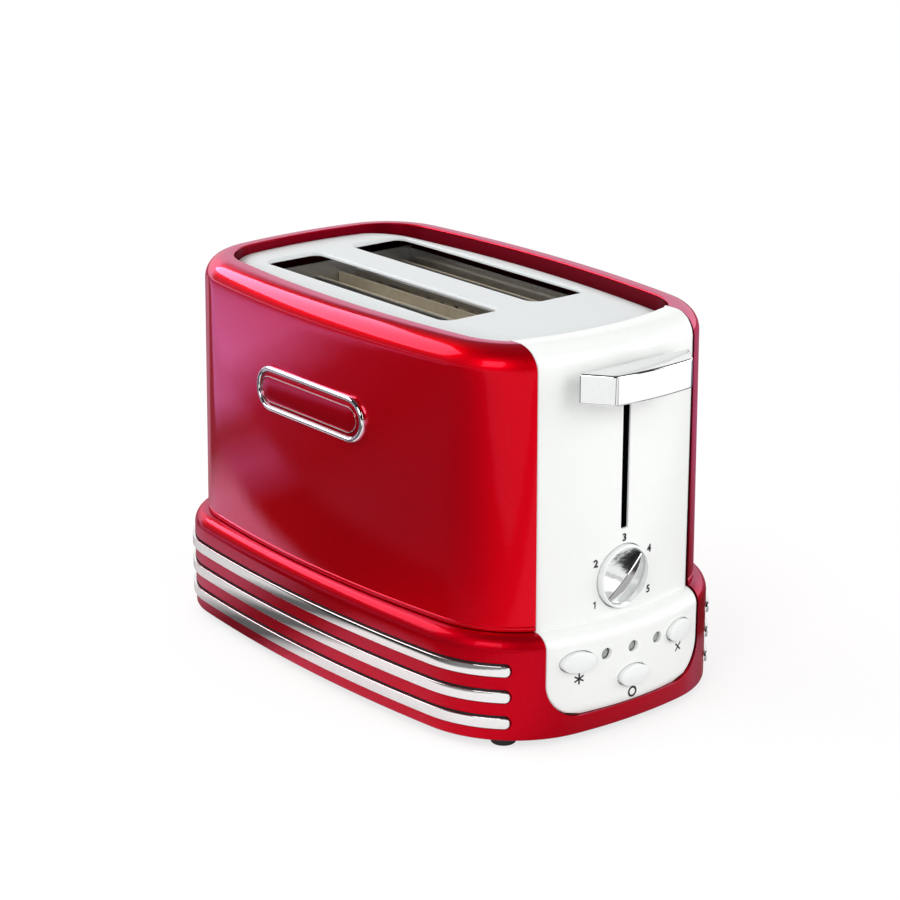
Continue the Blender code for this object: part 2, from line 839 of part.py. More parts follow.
def make_top_plate():
    inset = rim_width + fit_gap
    path = shell_path
    share = shell_share(height)
    upper, lower = [], []
    for part in band_shares:
        ring = offset(path, inset + top_band * part, 0, share)
        tops = []
        for point, (x, y, nx, ny) in zip(ring, path):
            drop = top_side_drop * nx ** 2 + top_end_drop * ny ** 2
            tops.append(Vector((point.x, point.y, top_height - drop * (1 - part) ** 2)))
        upper.append(tops)
        lower.append([point - Vector((0, 0, top_thickness)) for point in tops])
    rings = list(reversed(lower)) + upper
    plate = add("top_plate", loft("top_plate", rings), (white, 0.2))

    for side, side_name in ((-1, "left"), (1, "right")):
        name = "slot_cutter_" + side_name
        rings = []
        middle_y = (slot_front + slot_back) / 2
        out_share, down_share = slot_lip_middle_shares
        for grown, z in (
            (0, top_height - top_thickness - top_side_drop - overrun),
            (0, top_height - slot_lip),
            (slot_lip * out_share, top_height - slot_lip * down_share),
            (slot_lip, top_height + slot_lip * slot_lip_rise_share),
            (slot_lip, top_height + overrun),
        ):
            outline = rounded_outline(
                slot_width / 2 + grown, slot_length / 2 + grown, slot_corner + grown,
                side * slot_x, middle_y,
            )
            rings.append([(x, y, z) for x, y in outline])
        cut(plate, add_helper(name, loft(name, rings)))

    half = panel_half_width + fit_gap
    steps = 8
    arc = []
    for step in range(steps + 1):
        x = half * (2 * step / steps - 1)
        arc.append((x, panel_depth(x, crest_depth + crest_dip + fit_gap)))
    outline = arc + [(half, -shell_front_reach), (-half, -shell_front_reach)]
    bottom = top_height - top_thickness - top_side_drop - overrun
    rings = [[(x, y, z) for x, y in outline] for z in (bottom, height)]
    cut(plate, add_helper("crest_cutter", loft("crest_cutter", rings)))
    return plate


# Badge

def wall_x(y, z):
    """Distance of the casing's side from the middle plane, at a place on its long side."""
    bow = shell_side_radius - sqrt(shell_side_radius ** 2 - y ** 2)
    return (shell_half_width - bow) * shell_share(z)


def divided(points, pieces):
    """The outline with its long straight runs divided, so that it can follow a curved wall."""
    result = []
    for first, second in zip(points, points[1:] + points[:1]):
        result.append(first)
        if abs(second[0] - first[0]) > badge_half_height:
            for step in range(1, pieces):
                share = step / pieces
                result.append(tuple(a + (b - a) * share for a, b in zip(first, second)))
    return result


def badge_ring(grown, proud, steps=6):
    half_height = badge_half_height + grown
    half_length = badge_half_length + grown
    outline = rounded_outline(half_length, half_height, half_height, badge_y, badge_z, steps)
    return [(-wall_x(y, z) - proud, y, z) for y, z in divided(outline, steps)]


def make_badge():
    edge = badge_rim / 3
    frame_rings = [
        badge_ring(0, fit_gap), badge_ring(0, badge_proud - edge),
        badge_ring(-edge, badge_proud), badge_ring(edge - badge_rim, badge_proud),
        badge_ring(-badge_rim, badge_proud - edge), badge_ring(-badge_rim, fit_gap),
    ]
    add("badge_frame", loft("badge_frame", frame_rings, closed=True), (silver, 0.1, 1.0))
    make_badge_plate(badge_half_height - badge_rim - fit_gap, edge / 3)


def make_badge_plate(radius, edge):
    """Upright sections along the casing, so that the plate lies on its curve all over."""
    round_middle = badge_half_length - badge_half_height
    ends = [(round_middle + radius * cos(turn), radius * sin(turn)) for turn in badge_round_turns]
    straight = [(round_middle * share, radius) for share in badge_straight_shares]
    half = ends + straight
    stations = [(-along, tall) for along, tall in half] + list(reversed(half))
    sections = []
    for along, tall in stations:
        y = badge_y + along
        section = []
        for proud, up in (
            (fit_gap, -tall), (badge_plate_proud - edge, -tall), (badge_plate_proud, edge - tall),
            (badge_plate_proud, tall - edge), (badge_plate_proud - edge, tall), (fit_gap, tall),
        ):
            z = badge_z + up
            section.append((-wall_x(y, z) - proud, y, z))
        sections.append(section)
    add("badge_plate", loft("badge_plate", sections), (red, 0.1, 0.3))


# Lever, carriage and what moves with it

def make_lever():
    bow_steps = 8
    outline = []
    for step in range(bow_steps + 1):
        share = 2 * step / bow_steps - 1
        outline.append((lever_half_front * share, -lever_front - lever_bow * (1 - share ** 2)))
    outline += [(lever_half_back, -lever_back), (-lever_half_back, -lever_back)]
    rings = [[(x, y, z) for x, y in outline] for z in (lever_bottom, lever_top)]
    lever = add("lever_handle", loft("lever_handle", rings), (silver, 0.08, 1.0))
    bevel = lever.modifiers.new("edges", "BEVEL")
    bevel.width = lever_edge
    bevel.segments = 2
    bevel.limit_method = "ANGLE"
    bevel.angle_limit = radians(30)
    half = arm_width / 2 + fit_gap
    socket = box(
        "lever_socket", (-half, -lever_back - lever_socket, arm_bottom - fit_gap),
        (half, -lever_back + overrun, arm_top + fit_gap),
    )
    cut(lever, add_helper("lever_socket", socket))
    return lever


def make_carriage():
    half = slot_x + carriage_margin
    plate = box(
        "carriage", (-half, carriage_front, carriage_bottom), (half, carriage_back, carriage_top)
    )
    carriage = add("carriage", plate, (steel, 0.3, 1.0))
    arm_tip = -lever_back - lever_socket + fit_gap
    arm = box(
        "arm", (-arm_width / 2, arm_tip, arm_bottom),
        (arm_width / 2, carriage_front + carriage_thick / 2, arm_top),
    )
    hook_half = spring_radius + spring_wire
    hook = box(
        "spring_hook", (spring_x - hook_half, rod_y - hook_half, carriage_bottom),
        (spring_x + hook_half, carriage_front + carriage_thick / 2, carriage_bottom + hook_thick),
    )
    join(carriage, add_helper("arm", arm), add_helper("spring_hook", hook))
    tall = carriage_top - carriage_bottom
    for side, side_name in ((-1, "left"), (1, "right")):
        name = "bush_" + side_name
        bush = cylinder(name, bush_radius, tall - 2 * hook_thick)
        join(carriage, add_helper(name, bush, (side * rod_x, rod_y, carriage_bottom + hook_thick)))
    for side, side_name in ((-1, "left"), (1, "right")):
        name = "bush_bore_" + side_name
        bore = cylinder(name, rod_radius + running_gap, tall + overrun, small_sides)
        place = (side * rod_x, rod_y, carriage_bottom - overrun / 2)
        cut(carriage, add_helper(name, bore, place))
    return carriage


def make_lifters():
    """A flat bar in each slot, with a narrow stem that reaches through the bulkhead."""
    front = slot_front + lifter_end_gap
    back = slot_back - lifter_end_gap
    stem_tip = carriage_back + fit_gap
    wide, narrow = lifter_width / 2, lifter_stem / 2
    outline = [
        (-narrow, stem_tip), (narrow, stem_tip), (narrow, front), (wide, front),
        (wide, back), (-wide, back), (-wide, front), (-narrow, front),
    ]
    for side, side_name in ((-1, "left"), (1, "right")):
        name = "bread_lifter_" + side_name
        rings = [
            [(side * slot_x + x, y, z) for x, y in outline]
            for z in (lifter_top - lifter_thick, lifter_top)
        ]
        add(name, loft(name, rings), (steel, 0.35, 1.0))


def make_guide_rods():
    top = bulkhead_top - sheet - fit_gap
    for side, side_name in ((-1, "left"), (1, "right")):
        name = "guide_rod_" + side_name
        rod = cylinder(name, rod_radius, top - floor_height, small_sides)
        add(name, rod, (steel, 0.2, 1.0), (side * rod_x, rod_y, floor_height))


def make_spring():
    """A tension spring between the hook on the carriage and the flange over it."""
    bottom = carriage_bottom + hook_thick + fit_gap + spring_wire
    top = bulkhead_top - sheet - fit_gap - spring_wire
    curve = bpy.data.curves.new("return_spring", "CURVE")
    curve.dimensions = "3D"
    curve.bevel_depth = spring_wire
    curve.bevel_resolution = 1
    curve.use_fill_caps = True
    line = curve.splines.new("POLY")
    count = spring_turns * spring_points_per_turn
    line.points.add(count)
    coil = spring_radius - spring_wire
    for step in range(count + 1):
        turn = 2 * pi * step / spring_points_per_turn
        z = bottom + (top - bottom) * step / count
        line.points[step].co = (coil * cos(turn), coil * sin(turn), z, 1)
    spring = add("return_spring", curve, (steel, 0.3, 1.0), (spring_x, rod_y, 0))
    return spring


def make_magnet():
    top = carriage_bottom - fit_gap
    half = armature_half_width
    back = carriage_back
    armature = box(
        "armature_plate", (-half, back - armature_depth, top - armature_thick), (half, back, top)
    )
    add("armature_plate", armature, (steel, 0.3, 1.0))
    magnet_top = top - armature_thick - lever_travel - fit_gap
    magnet = box(
        "electromagnet", (-magnet_half_width, back - armature_depth, magnet_top - magnet_tall),
        (magnet_half_width, front_wall - sheet - fit_gap, magnet_top),
    )
    add("electromagnet", magnet, ((0.45, 0.2, 0.05), 0.4))


# Browning knob

def make_knob():
    surface = (0, -panel_front, knob_height)
    back = knob_proud - knob_thickness
    recess = knob_proud - knob_face_depth
    shaft_end = knob_shaft_to_board - board_behind_panel
    ring_profile = [
        (0, recess), (knob_face_radius, recess), (knob_face_radius, knob_proud),
        (knob_radius - rim_edge, knob_proud), (knob_radius, knob_proud - rim_edge),
        (knob_radius, back), (knob_shaft_radius, back),
        (knob_shaft_radius, shaft_end), (0, shaft_end),
    ]
    knob = add_turned("browning_knob", ring_profile, (white, 0.15), surface, towards_front, 32)

    radius = knob_face_radius - fit_gap
    thick = knob_face_depth - fit_gap
    bm = bmesh.new()
    bmesh.ops.create_cone(
        bm, cap_ends=True, segments=24, radius1=radius, radius2=radius, depth=thick
    )
    bmesh.ops.translate(bm, vec=(0, 0, thick / 2), verts=bm.verts)
    upper = [vertex for vertex in bm.verts if vertex.co.z > thick / 2]
    ends = [min(upper, key=lambda v: v.co.x), max(upper, key=lambda v: v.co.x)]
    bmesh.ops.connect_verts(bm, verts=ends)
    for vertex in upper:
        vertex.co.z -= knob_facet_drop * abs(vertex.co.y) / radius
    face = add(
        "knob_face", to_mesh(bm, "knob_face"), (silver, 0.1, 1.0),
        (0, -panel_front - recess - fit_gap, knob_height), (radians(90), -knob_pointer, 0),
    )
    return knob, face


def make_potentiometer():
    """Takes the knob's shaft, and sits on the control board."""
    front = knob_thickness - knob_proud - panel_front + pot_behind_knob
    half = pot_size / 2
    pot = add(
        "knob_potentiometer",
        box("knob_potentiometer", (-half, front, knob_height - half),
            (half, board_y - fit_gap, knob_height + half)),
        ((0.15, 0.16, 0.2), 0.5),
    )
    bore_end = board_y - knob_shaft_to_board + fit_gap
    bore = cylinder(
        "pot_bore", knob_shaft_radius + running_gap, bore_end - front + overrun, small_sides
    )
    cut(pot, add_helper("pot_bore", bore, (0, front - overrun, knob_height), towards_back))


# Buttons, switches, lenses and the board

def make_buttons():
    socket = button_travel + socket_spare
    tip = board_y - fit_gap - switch_tall + running_gap
    crown, brow = button_crown_shares, button_brow_shares
    for side, (x, z) in buttons.items():
        inner = panel_thickness - panel_step + fit_gap

        def on_panel(half_width, half_height, behind):
            return [(a, panel_depth(a, behind), b) for a, b in oval(half_width, half_height, x, z)]

        wide, tall = button_half_width, button_half_height
        low = button_dome - button_proud - panel_step
        rings = [
            on_panel(wide * crown[0], tall * crown[1], -button_proud - panel_step),
            on_panel(wide * brow[0], tall * brow[1], low - button_dome * button_brow_rise_share),
            on_panel(wide, tall, low),
            on_panel(wide, tall, inner),
            on_panel(wide + button_flange, tall + button_flange, inner),
            on_panel(wide + button_flange, tall + button_flange, inner + button_flange_thick),
        ]
        stem = oval(button_stem_radius, button_stem_radius, x, z)
        stem_start = panel_depth(x, inner + button_flange_thick)
        rings.append([(a, stem_start, b) for a, b in stem])
        rings.append([(a, tip, b) for a, b in stem])
        add("button_" + side, loft("button_" + side, rings), (white, 0.12))

        half = switch_size / 2
        name = "switch_" + side
        front = tip - running_gap
        body = box(name, (x - half, front, z - half), (x + half, front + switch_tall, z + half))
        switch = add(name, body, (black, 0.4))
        hole = cylinder(
            "socket_" + side, button_stem_radius + running_gap, socket + overrun, small_sides
        )
        place = (x, front - overrun, z)
        cut(switch, add_helper("socket_" + side, hole, place, towards_back))


def make_lenses():
    out_share, up_share = lens_crown_shares
    for side, x in lenses.items():
        lens_profile = [
            (0, lens_proud), (lens_radius * out_share, lens_proud * up_share), (lens_radius, 0),
            (lens_radius, -lens_length), (0, -lens_length),
        ]
        place = (x, panel_depth(x, -panel_step), lens_height)
        add_turned(
            "indicator_lens_" + side, lens_profile, ((0.75, 0.75, 0.72), 0.05), place,
            towards_front, small_sides,
        )


def make_board():
    board = box(
        "control_board", (-board_half_width, board_y, board_bottom),
        (board_half_width, board_y + board_thickness, board_top),
    )
    add("control_board", board, ((0.05, 0.25, 0.1), 0.5))


# Bulkheads, shields, heater cards and bread guards

guard_places = {
    "left_outer": -slot_x - guard_offset,
    "left_inner": -slot_x + guard_offset,
    "right_inner": slot_x - guard_offset,
    "right_outer": slot_x + guard_offset,
}
card_places = {
    "left_outer": -slot_x - card_offset,
    "left_inner": -slot_x + card_offset,
    "right_inner": slot_x - card_offset,
    "right_outer": slot_x + card_offset,
}


def rod_holes(wall, name, y):
    for guard_name, x in guard_places.items():
        hole_name = name + "_hole_" + guard_name
        hole = cylinder(hole_name, guard_rod_radius + running_gap, sheet + overrun, small_sides)
        start = (x, y - overrun / 2, guard_pivot_height)
        cut(wall, add_helper(hole_name, hole, start, towards_back))


def make_bulkheads():
    half = bulkhead_half
    front = add(
        "front_bulkhead",
        box("front_bulkhead", (-half, front_wall - sheet, floor_height),
            (half, front_wall, bulkhead_top)),
        (steel, 0.35, 1.0),
    )
    flange = box(
        "bulkhead_flange",
        (-rod_x - bush_radius, front_wall - flange_depth, bulkhead_top - sheet),
        (rod_x + bush_radius, front_wall - sheet / 2, bulkhead_top),
    )
    join(front, add_helper("bulkhead_flange", flange))
    slot_half = lifter_stem / 2 + running_gap
    for side, side_name in ((-1, "left"), (1, "right")):
        name = "stem_slot_" + side_name
        slot = box(
            name,
            (side * slot_x - slot_half, front_wall - sheet - carriage_ahead / 2,
             lifter_top - lifter_thick - lever_travel - arm_slot_spare),
            (side * slot_x + slot_half, front_wall + overrun / 2, lifter_top + running_gap),
        )
        cut(front, add_helper(name, slot))
    rod_holes(front, "front", front_wall - sheet)

    rear = add(
        "rear_bulkhead",
        box("rear_bulkhead", (-half, back_wall, floor_height),
            (half, back_wall + sheet, bulkhead_top)),
        (steel, 0.35, 1.0),
    )
    notch_half = tray_half_width + tray_clearance
    notch = box(
        "tray_notch", (-notch_half, back_wall - overrun, floor_height - overrun),
        (notch_half, back_wall + sheet + overrun, floor_height + tray_height + tray_clearance),
    )
    cut(rear, add_helper("tray_notch", notch))
    rod_holes(rear, "rear", back_wall)

    for side, side_name in ((-1, "left"), (1, "right")):
        inner, outer = sorted((side * shield_x, side * (shield_x + sheet)))
        name = "heat_shield_" + side_name
        shield = box(
            name, (inner, front_wall + fit_gap, shield_bottom),
            (outer, back_wall - fit_gap, top_height - shield_below_top),
        )
        add(name, shield, (silver, 0.25, 1.0))


def make_cards():
    for place, x in card_places.items():
        name = "heater_card_" + place
        card = box(
            name, (x - card_thickness / 2, front_wall + fit_gap, card_bottom),
            (x + card_thickness / 2, back_wall - fit_gap, top_height - card_below_top),
        )
        add(name, card, ((0.5, 0.42, 0.3), 0.7))


def make_guards():
    """A grille hanging on a rod along its lower edge, which turns in both bulkheads."""
    front = slot_front
    back = slot_back
    length = back + sheet + bulkhead_clearance + fit_gap - (front_wall - sheet - fit_gap)
    top = top_height - guard_below_top
    window = (back - front - guard_end_gap - (guard_windows + 1) * guard_bar) / guard_windows
    for place, x in guard_places.items():
        name = "bread_guard_" + place
        start = front_wall - sheet - fit_gap
        rod = cylinder(name, guard_rod_radius, length, small_sides)
        guard = add(name, rod, (steel, 0.3, 1.0), (x, start, guard_pivot_height), towards_back)
        low = front + guard_end_gap / 2
        sheet_name = "grille_" + place
        grille = box(
            sheet_name, (x - sheet / 2, low, guard_pivot_height),
            (x + sheet / 2, back - guard_end_gap / 2, top),
        )
        join(guard, add_helper(sheet_name, grille))
        for number in range(guard_windows):
            window_front = low + guard_bar + number * (window + guard_bar)
            window_name = "window_" + place + "_" + str(number)
            opening = box(
                window_name,
                (x - sheet, window_front, guard_pivot_height + guard_rod_radius + guard_bar),
                (x + sheet, window_front + window, top - guard_bar),
            )
            cut(guard, add_helper(window_name, opening))


# Crumb tray, cord inlet and terminal block

def make_tray():
    half = tray_half_width
    top = floor_height + tray_height
    corner_depth = base_back_radius - sqrt(base_back_radius ** 2 - half ** 2)
    back = base_back_reach - corner_depth - base_wall / 2
    body = box("crumb_tray", (-half, tray_front, floor_height), (half, back, top))
    tray = add("crumb_tray", body, (steel, 0.35, 1.0))
    hollow = box(
        "tray_hollow",
        (tray_sheet - half, tray_front + tray_sheet, floor_height + tray_sheet),
        (half - tray_sheet, back - corner_depth, top + overrun),
    )
    steps = 8
    outer, inner = [], []
    for step in range(steps + 1):
        x = tray_handle_half * (2 * step / steps - 1)
        bow = base_back_radius - sqrt(base_back_radius ** 2 - x ** 2)
        outer.append((x, base_back_reach - bow + tray_handle_proud))
        inner.append((x, base_back_reach - bow - base_wall))
    outline = outer + list(reversed(inner))
    rings = [
        [(x, y, z) for x, y in outline] for z in (floor_height, floor_height + tray_handle_height)
    ]
    cut(tray, add_helper("tray_hollow", hollow))
    join(tray, add_helper("tray_handle", loft("tray_handle", rings)))


def make_inlet():
    inside = -base_wall - inlet_inside
    profile = [
        (inlet_flange_radius, fit_gap + inlet_flange_thick), (inlet_flange_radius, fit_gap),
        (inlet_radius, fit_gap), (inlet_radius, inside), (inlet_bore, inside),
        (inlet_bore, fit_gap + inlet_flange_thick),
    ]
    place = (0, base_back_reach, inlet_height)
    add_turned("cord_inlet", profile, (black, 0.6), place, towards_back)


def make_terminal_block():
    half = terminal_length / 2
    front = back_wall + sheet + fit_gap
    block = box(
        "terminal_block", (-half, front, terminal_bottom),
        (half, front + terminal_depth, terminal_bottom + terminal_height),
    )
    add("terminal_block", block, ((0.7, 0.68, 0.6), 0.5))


make_base()
make_bottom_plate()
make_feet_and_screws()
make_strips()
make_shell()
make_panel()
make_top_plate()
make_badge()
make_lever()
make_carriage()
make_lifters()
make_guide_rods()
make_spring()
make_magnet()
make_knob()
make_potentiometer()
make_buttons()
make_lenses()
make_board()
make_bulkheads()
make_cards()
make_guards()
make_tray()
make_inlet()
make_terminal_block()
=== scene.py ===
# %% [markdown]
# # Dressing a bagel toaster
#
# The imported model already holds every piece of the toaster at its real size: casing, base, control
# panel, lever, knob and all that moves. This script gives each piece the surface that the real one
# has. Pieces whose form is right keep their mesh and get a finish. Pieces that show a rounded edge,
# a groove or a lip are built again, finer, in the same place.

from collections import namedtuple
from math import atan2, cos, pi, radians, sin, sqrt, tan

import bmesh
import bpy
from mathutils import Matrix, Vector


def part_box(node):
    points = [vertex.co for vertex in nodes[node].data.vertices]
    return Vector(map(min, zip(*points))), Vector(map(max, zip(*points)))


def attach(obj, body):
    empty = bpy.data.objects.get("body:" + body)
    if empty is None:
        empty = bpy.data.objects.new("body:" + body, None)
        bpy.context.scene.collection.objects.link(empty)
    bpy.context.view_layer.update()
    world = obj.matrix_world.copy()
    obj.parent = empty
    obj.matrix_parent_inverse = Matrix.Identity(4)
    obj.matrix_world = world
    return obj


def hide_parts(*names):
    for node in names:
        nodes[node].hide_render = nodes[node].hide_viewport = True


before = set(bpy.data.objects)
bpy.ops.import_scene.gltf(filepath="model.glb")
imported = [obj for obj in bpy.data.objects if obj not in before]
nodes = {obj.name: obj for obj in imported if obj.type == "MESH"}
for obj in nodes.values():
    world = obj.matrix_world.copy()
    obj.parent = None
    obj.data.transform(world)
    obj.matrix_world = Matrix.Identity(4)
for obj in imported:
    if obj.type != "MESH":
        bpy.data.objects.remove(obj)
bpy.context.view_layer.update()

# %% [markdown]
# ## Sizes
#
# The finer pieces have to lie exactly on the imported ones, so they are drawn from the same driving
# sizes. Heights can be read from the frame. The rest is written once here, in millimetres. The
# toaster is laid out about the widest place of its casing, which lies a little behind the middle.

# %% Units and the sizes that the finer pieces share
mm = 0.001
middle = 10.2 * mm
gap = 0.3 * mm
running_gap = 0.4 * mm
beyond = 6 * mm

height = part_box("outer_shell")[1].z
skirt_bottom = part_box("base_shell")[0].z
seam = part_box("outer_shell")[0].z - gap
panel_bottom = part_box("front_panel")[0].z
print("height", round(height / mm, 1), "seam", round(seam / mm, 1), "skirt", round(skirt_bottom / mm, 2))

# %% Casing, base and panel
Plan = namedtuple("Plan", "half front back side_radius front_radius back_radius front_corner back_corner")
casing = Plan(*(size * mm for size in (85.2, 143.6, 136.6, 694, 334, 270, 50, 46)))
skirt = Plan(*(size * mm for size in (90.7, 151.5, 140.2, 885, 259, 299, 58.3, 44.2)))
top_share = 0.989
shell_wall = 1.2 * mm
rim_radius = 12 * mm
rim_width = 15.8 * mm
rim_edge = 0.8 * mm
rim_flange = 10.5 * mm
base_wall = 2.5 * mm
shoulder_drop = 8 * mm
ledge_seat = 3.5 * mm

panel_half = 51 * mm
panel_front = casing.front - 0.55 * mm
panel_radius = 172 * mm
panel_lean = 0.8 * mm
panel_wall = 2.2 * mm
panel_step = 8.45 * mm
panel_shoulder = 7 * mm
shoulder_top = seam - 0.8 * mm
panel_corner = 19 * mm
crest_depth = 19.4 * mm
crest_dip = 1.8 * mm
crest_skirt = 6 * mm
print("panel", round(2 * panel_half / mm), "wide, face", round(panel_front / mm, 2), "ahead")

# %% [markdown]
# ## Shader maths
#
# A finish is a sum of masks and noises. Written with nodes alone it is hard to read, so a small
# class wraps a node's socket and lets Python's own operators add the Math nodes. Every other node
# comes from one method, and a material is a node tree with a shader in it.

# %% A socket that takes part in sums
class Value:
    def __init__(self, tree, socket):
        self.tree = tree
        self.socket = socket

    def maths(self, operation, *others):
        return self.tree.node("Math", {"operation": operation}, *others)

    def __add__(self, other):
        return self.maths("ADD", self, other)

    def __sub__(self, other):
        return self.maths("SUBTRACT", self, other)

    def __rsub__(self, other):
        return self.maths("SUBTRACT", other, self)

    def __mul__(self, other):
        return self.maths("MULTIPLY", self, other)

    __radd__ = __add__
    __rmul__ = __mul__

# %% A tree of nodes
class Tree:
    """The nodes of a material or of the world."""

    def __init__(self, tree):
        self.tree = tree

    def join(self, value, socket):
        if isinstance(value, Value):
            self.tree.links.new(value.socket, socket)
        else:
            socket.default_value = value

    def node(self, kind, settings=None, *values, output=0, **named):
        """Any node: its kind, its settings, then its sockets in order or by name."""
        made = self.tree.nodes.new("ShaderNode" + kind)
        for name, value in (settings or {}).items():
            if name == "stops":
                self.set_stops(made.color_ramp, value)
            else:
                setattr(made, name, value)
        for socket, value in zip(made.inputs, values):
            self.join(value, socket)
        for name, value in named.items():
            self.join(value, made.inputs[name.replace("_", " ")])
        return Value(self, made.outputs[output])

    def set_stops(self, ramp, stops):
        while len(ramp.elements) < len(stops):
            ramp.elements.new(1)
        for element, (place, colour) in zip(ramp.elements, stops):
            element.position = place
            element.color = colour if len(colour) == 4 else (*colour, 1)

    def place(self):
        """Where a point lies on the object, in metres."""
        return self.node("TexCoord", output="Object")

    def part(self, vector, axis):
        """One of a vector's three numbers."""
        return self.node("SeparateXYZ", None, vector, output=axis)

    def rays(self, kind):
        """1 for the rays of a kind, 0 for all others."""
        return self.node("LightPath", output="Is " + kind + " Ray")

    def noise(self, scale, detail=2):
        return self.node("TexNoise", None, Vector=self.place(), Scale=scale, Detail=detail)

    def clamp(self, value, low, high, to_low=0.0, to_high=1.0):
        """The value's range from low to high, spread over another range."""
        return self.node("MapRange", {"clamp": True}, value, low, high, to_low, to_high)

    def blend(self, share, first, second):
        """Two colours mixed."""
        made = self.tree.nodes.new("ShaderNodeMix")
        made.data_type = "RGBA"
        colour_sockets = (0, 6, 7)
        for index, value in zip(colour_sockets, (share, first, second)):
            value = (*value, 1) if isinstance(value, tuple) and len(value) == 3 else value
            self.join(value, made.inputs[index])
        return Value(self, made.outputs[2])

    def grey(self, level):
        return self.node("CombineColor", None, level, level, level)

    def bump(self, relief, distance):
        return self.node("Bump", None, Height=relief, Distance=distance)

# %% A material
class Look(Tree):
    """A finish: a material, its tree and the shader in it."""

    def __init__(self, name, colour, **constants):
        self.material = bpy.data.materials.new(name)
        self.material.use_nodes = True
        super().__init__(self.material.node_tree)
        self.shader = self.tree.nodes["Principled BSDF"]
        self.set(Base_Color=(*colour, 1), **constants)
        self.material.diffuse_color = (*colour, 1)

    def set(self, **sockets):
        """Constants or values for the shader's own sockets."""
        for name, value in sockets.items():
            self.join(value, self.shader.inputs[name.replace("_", " ")])

    def lay_mirror(self, colour, share, **constants):
        """A clear layer over the shader, which mirrors in a tint of its own by a share."""
        under = Value(self, self.shader.outputs[0])
        layer = self.node("BsdfPrincipled", None, Base_Color=(*colour, 1), Metallic=1.0, **constants)
        mixed = self.node("MixShader", None, share, under, layer)
        self.join(mixed, self.tree.nodes["Material Output"].inputs["Surface"])

# %% [markdown]
# ## Red enamel
#
# The casing is sheet steel in a candy red: bright flakes under a dyed lacquer. The flakes give a
# wide red glow. The lacquer mirrors sharply, in pink, and the more so the flatter one looks at it.
# A slight waviness bends the edges of reflections. On the flange inside the rim the red and its
# mirror are darkened: painted shade inside the rim. The surface faces the middle of the toaster
# there, and the dot product of a point's place and its normal tells that.

# %% Red enamel
flake_scale = 2600.0
grain_scale = 900.0
wave_scale = 55.0
wave_height = 0.08 * mm
lacquer_ior = 1.6
lacquer_pink = (1.0, 0.4, 0.7)
# Dark red for the painted shade on the flange inside the rim.
painted_shade_red = (0.05, 0.0, 0.006)


def red_paint(name, depth, lacquer):
    """The depth scales the red of the flakes. The lacquer is the share that mirrors, seen at a slant."""
    look = Look(name, (0.7 * depth, 0.0, 0.01), Metallic=0.9, Specular_IOR_Level=0.1,
                Specular_Tint=(0.2, 0, 0.02, 1))
    flakes = look.node("TexVoronoi", None, Vector=look.place(), Scale=flake_scale)
    grain = look.noise(grain_scale)
    wave = look.bump(look.noise(wave_scale, detail=1) + flakes * 0.05, wave_height)
    light = look.blend(flakes * 0.5 + grain * 0.5, (0.62 * depth, 0.0, 0.004), (0.84 * depth, 0.0, 0.014))
    outward = look.node("VectorMath", {"operation": "DOT_PRODUCT"}, look.place(),
                        look.node("TexCoord", output="Normal"), output="Value")
    # 1 outside and 0.15 inside the rim: painted shade that darkens both the colour and the mirror there.
    outside_painted_shade = look.clamp(outward, -0.04, 0.0, 0.15, 1.0)
    look.set(Base_Color=look.blend(outside_painted_shade, painted_shade_red, light), Roughness=0.42 + grain * 0.08, Normal=wave)
    mirrored = look.clamp(look.node("Fresnel", None, IOR=lacquer_ior), 0.05, 0.15, 0.0, lacquer)
    look.lay_mirror(lacquer_pink, mirrored * outside_painted_shade, Roughness=0.04, Normal=wave)
    return look

red_enamel = red_paint("red_enamel", 1.18, 0.4)
# The base uses a darker copy of the casing's red as painted shade, and it mirrors less.
red_moulding = red_paint("red_moulding", 0.85, 0.22)

# %% [markdown]
# ## White plastic
#
# The panel, the knob ring and the buttons are moulded in a glossy warm white, and the deck in a
# duller one, whose white is set greyer and darker than the panel's as painted shade. Such a surface
# has a faint waviness from the mould and fine scuffs.

# %% White plastic
def white_plastic(name, colour, roughness, grain=180.0):
    look = Look(name, colour, Specular_IOR_Level=0.5)
    scuffs = look.noise(grain, detail=4)
    wave = look.noise(40.0, detail=1)
    darker = tuple(part * 0.97 for part in colour)
    look.set(Base_Color=look.blend(scuffs, darker, colour), Roughness=roughness - 0.02 + scuffs * 0.04,
             Normal=look.bump(wave, 0.00005))
    return look

panel_white = white_plastic("panel_white", (0.87, 0.885, 0.87), 0.22)
# The deck's darker, greyer white is painted shade.
deck_white = white_plastic("deck_white", (0.69, 0.715, 0.72), 0.35, 60.0)
button_white = white_plastic("button_white", (0.85, 0.87, 0.86), 0.15)

# %% [markdown]
# ## Chrome and steels
#
# Chrome is nearly a mirror, so its detail is in what it reflects, and in a breath of roughness.
# Sheet steel inside the toaster is rolled: long fine streaks along the sheet.

# %% Metals
def metal(name, colour, roughness, spread, streaks=(400.0, 400.0, 400.0)):
    """The streaks are the grain's scales along x, y and z, and the spread is its share in the roughness."""
    look = Look(name, colour, Metallic=1.0)
    stretched = look.node("Mapping", None, Vector=look.place(), Scale=streaks)
    grain = look.node("TexNoise", None, Vector=stretched, Scale=1.0, Detail=3.0)
    darker = tuple(part * 0.9 for part in colour)
    look.set(Base_Color=look.blend(grain, darker, colour), Roughness=roughness + (grain - 0.5) * spread,
             Normal=look.bump(grain, 0.00001))
    return look

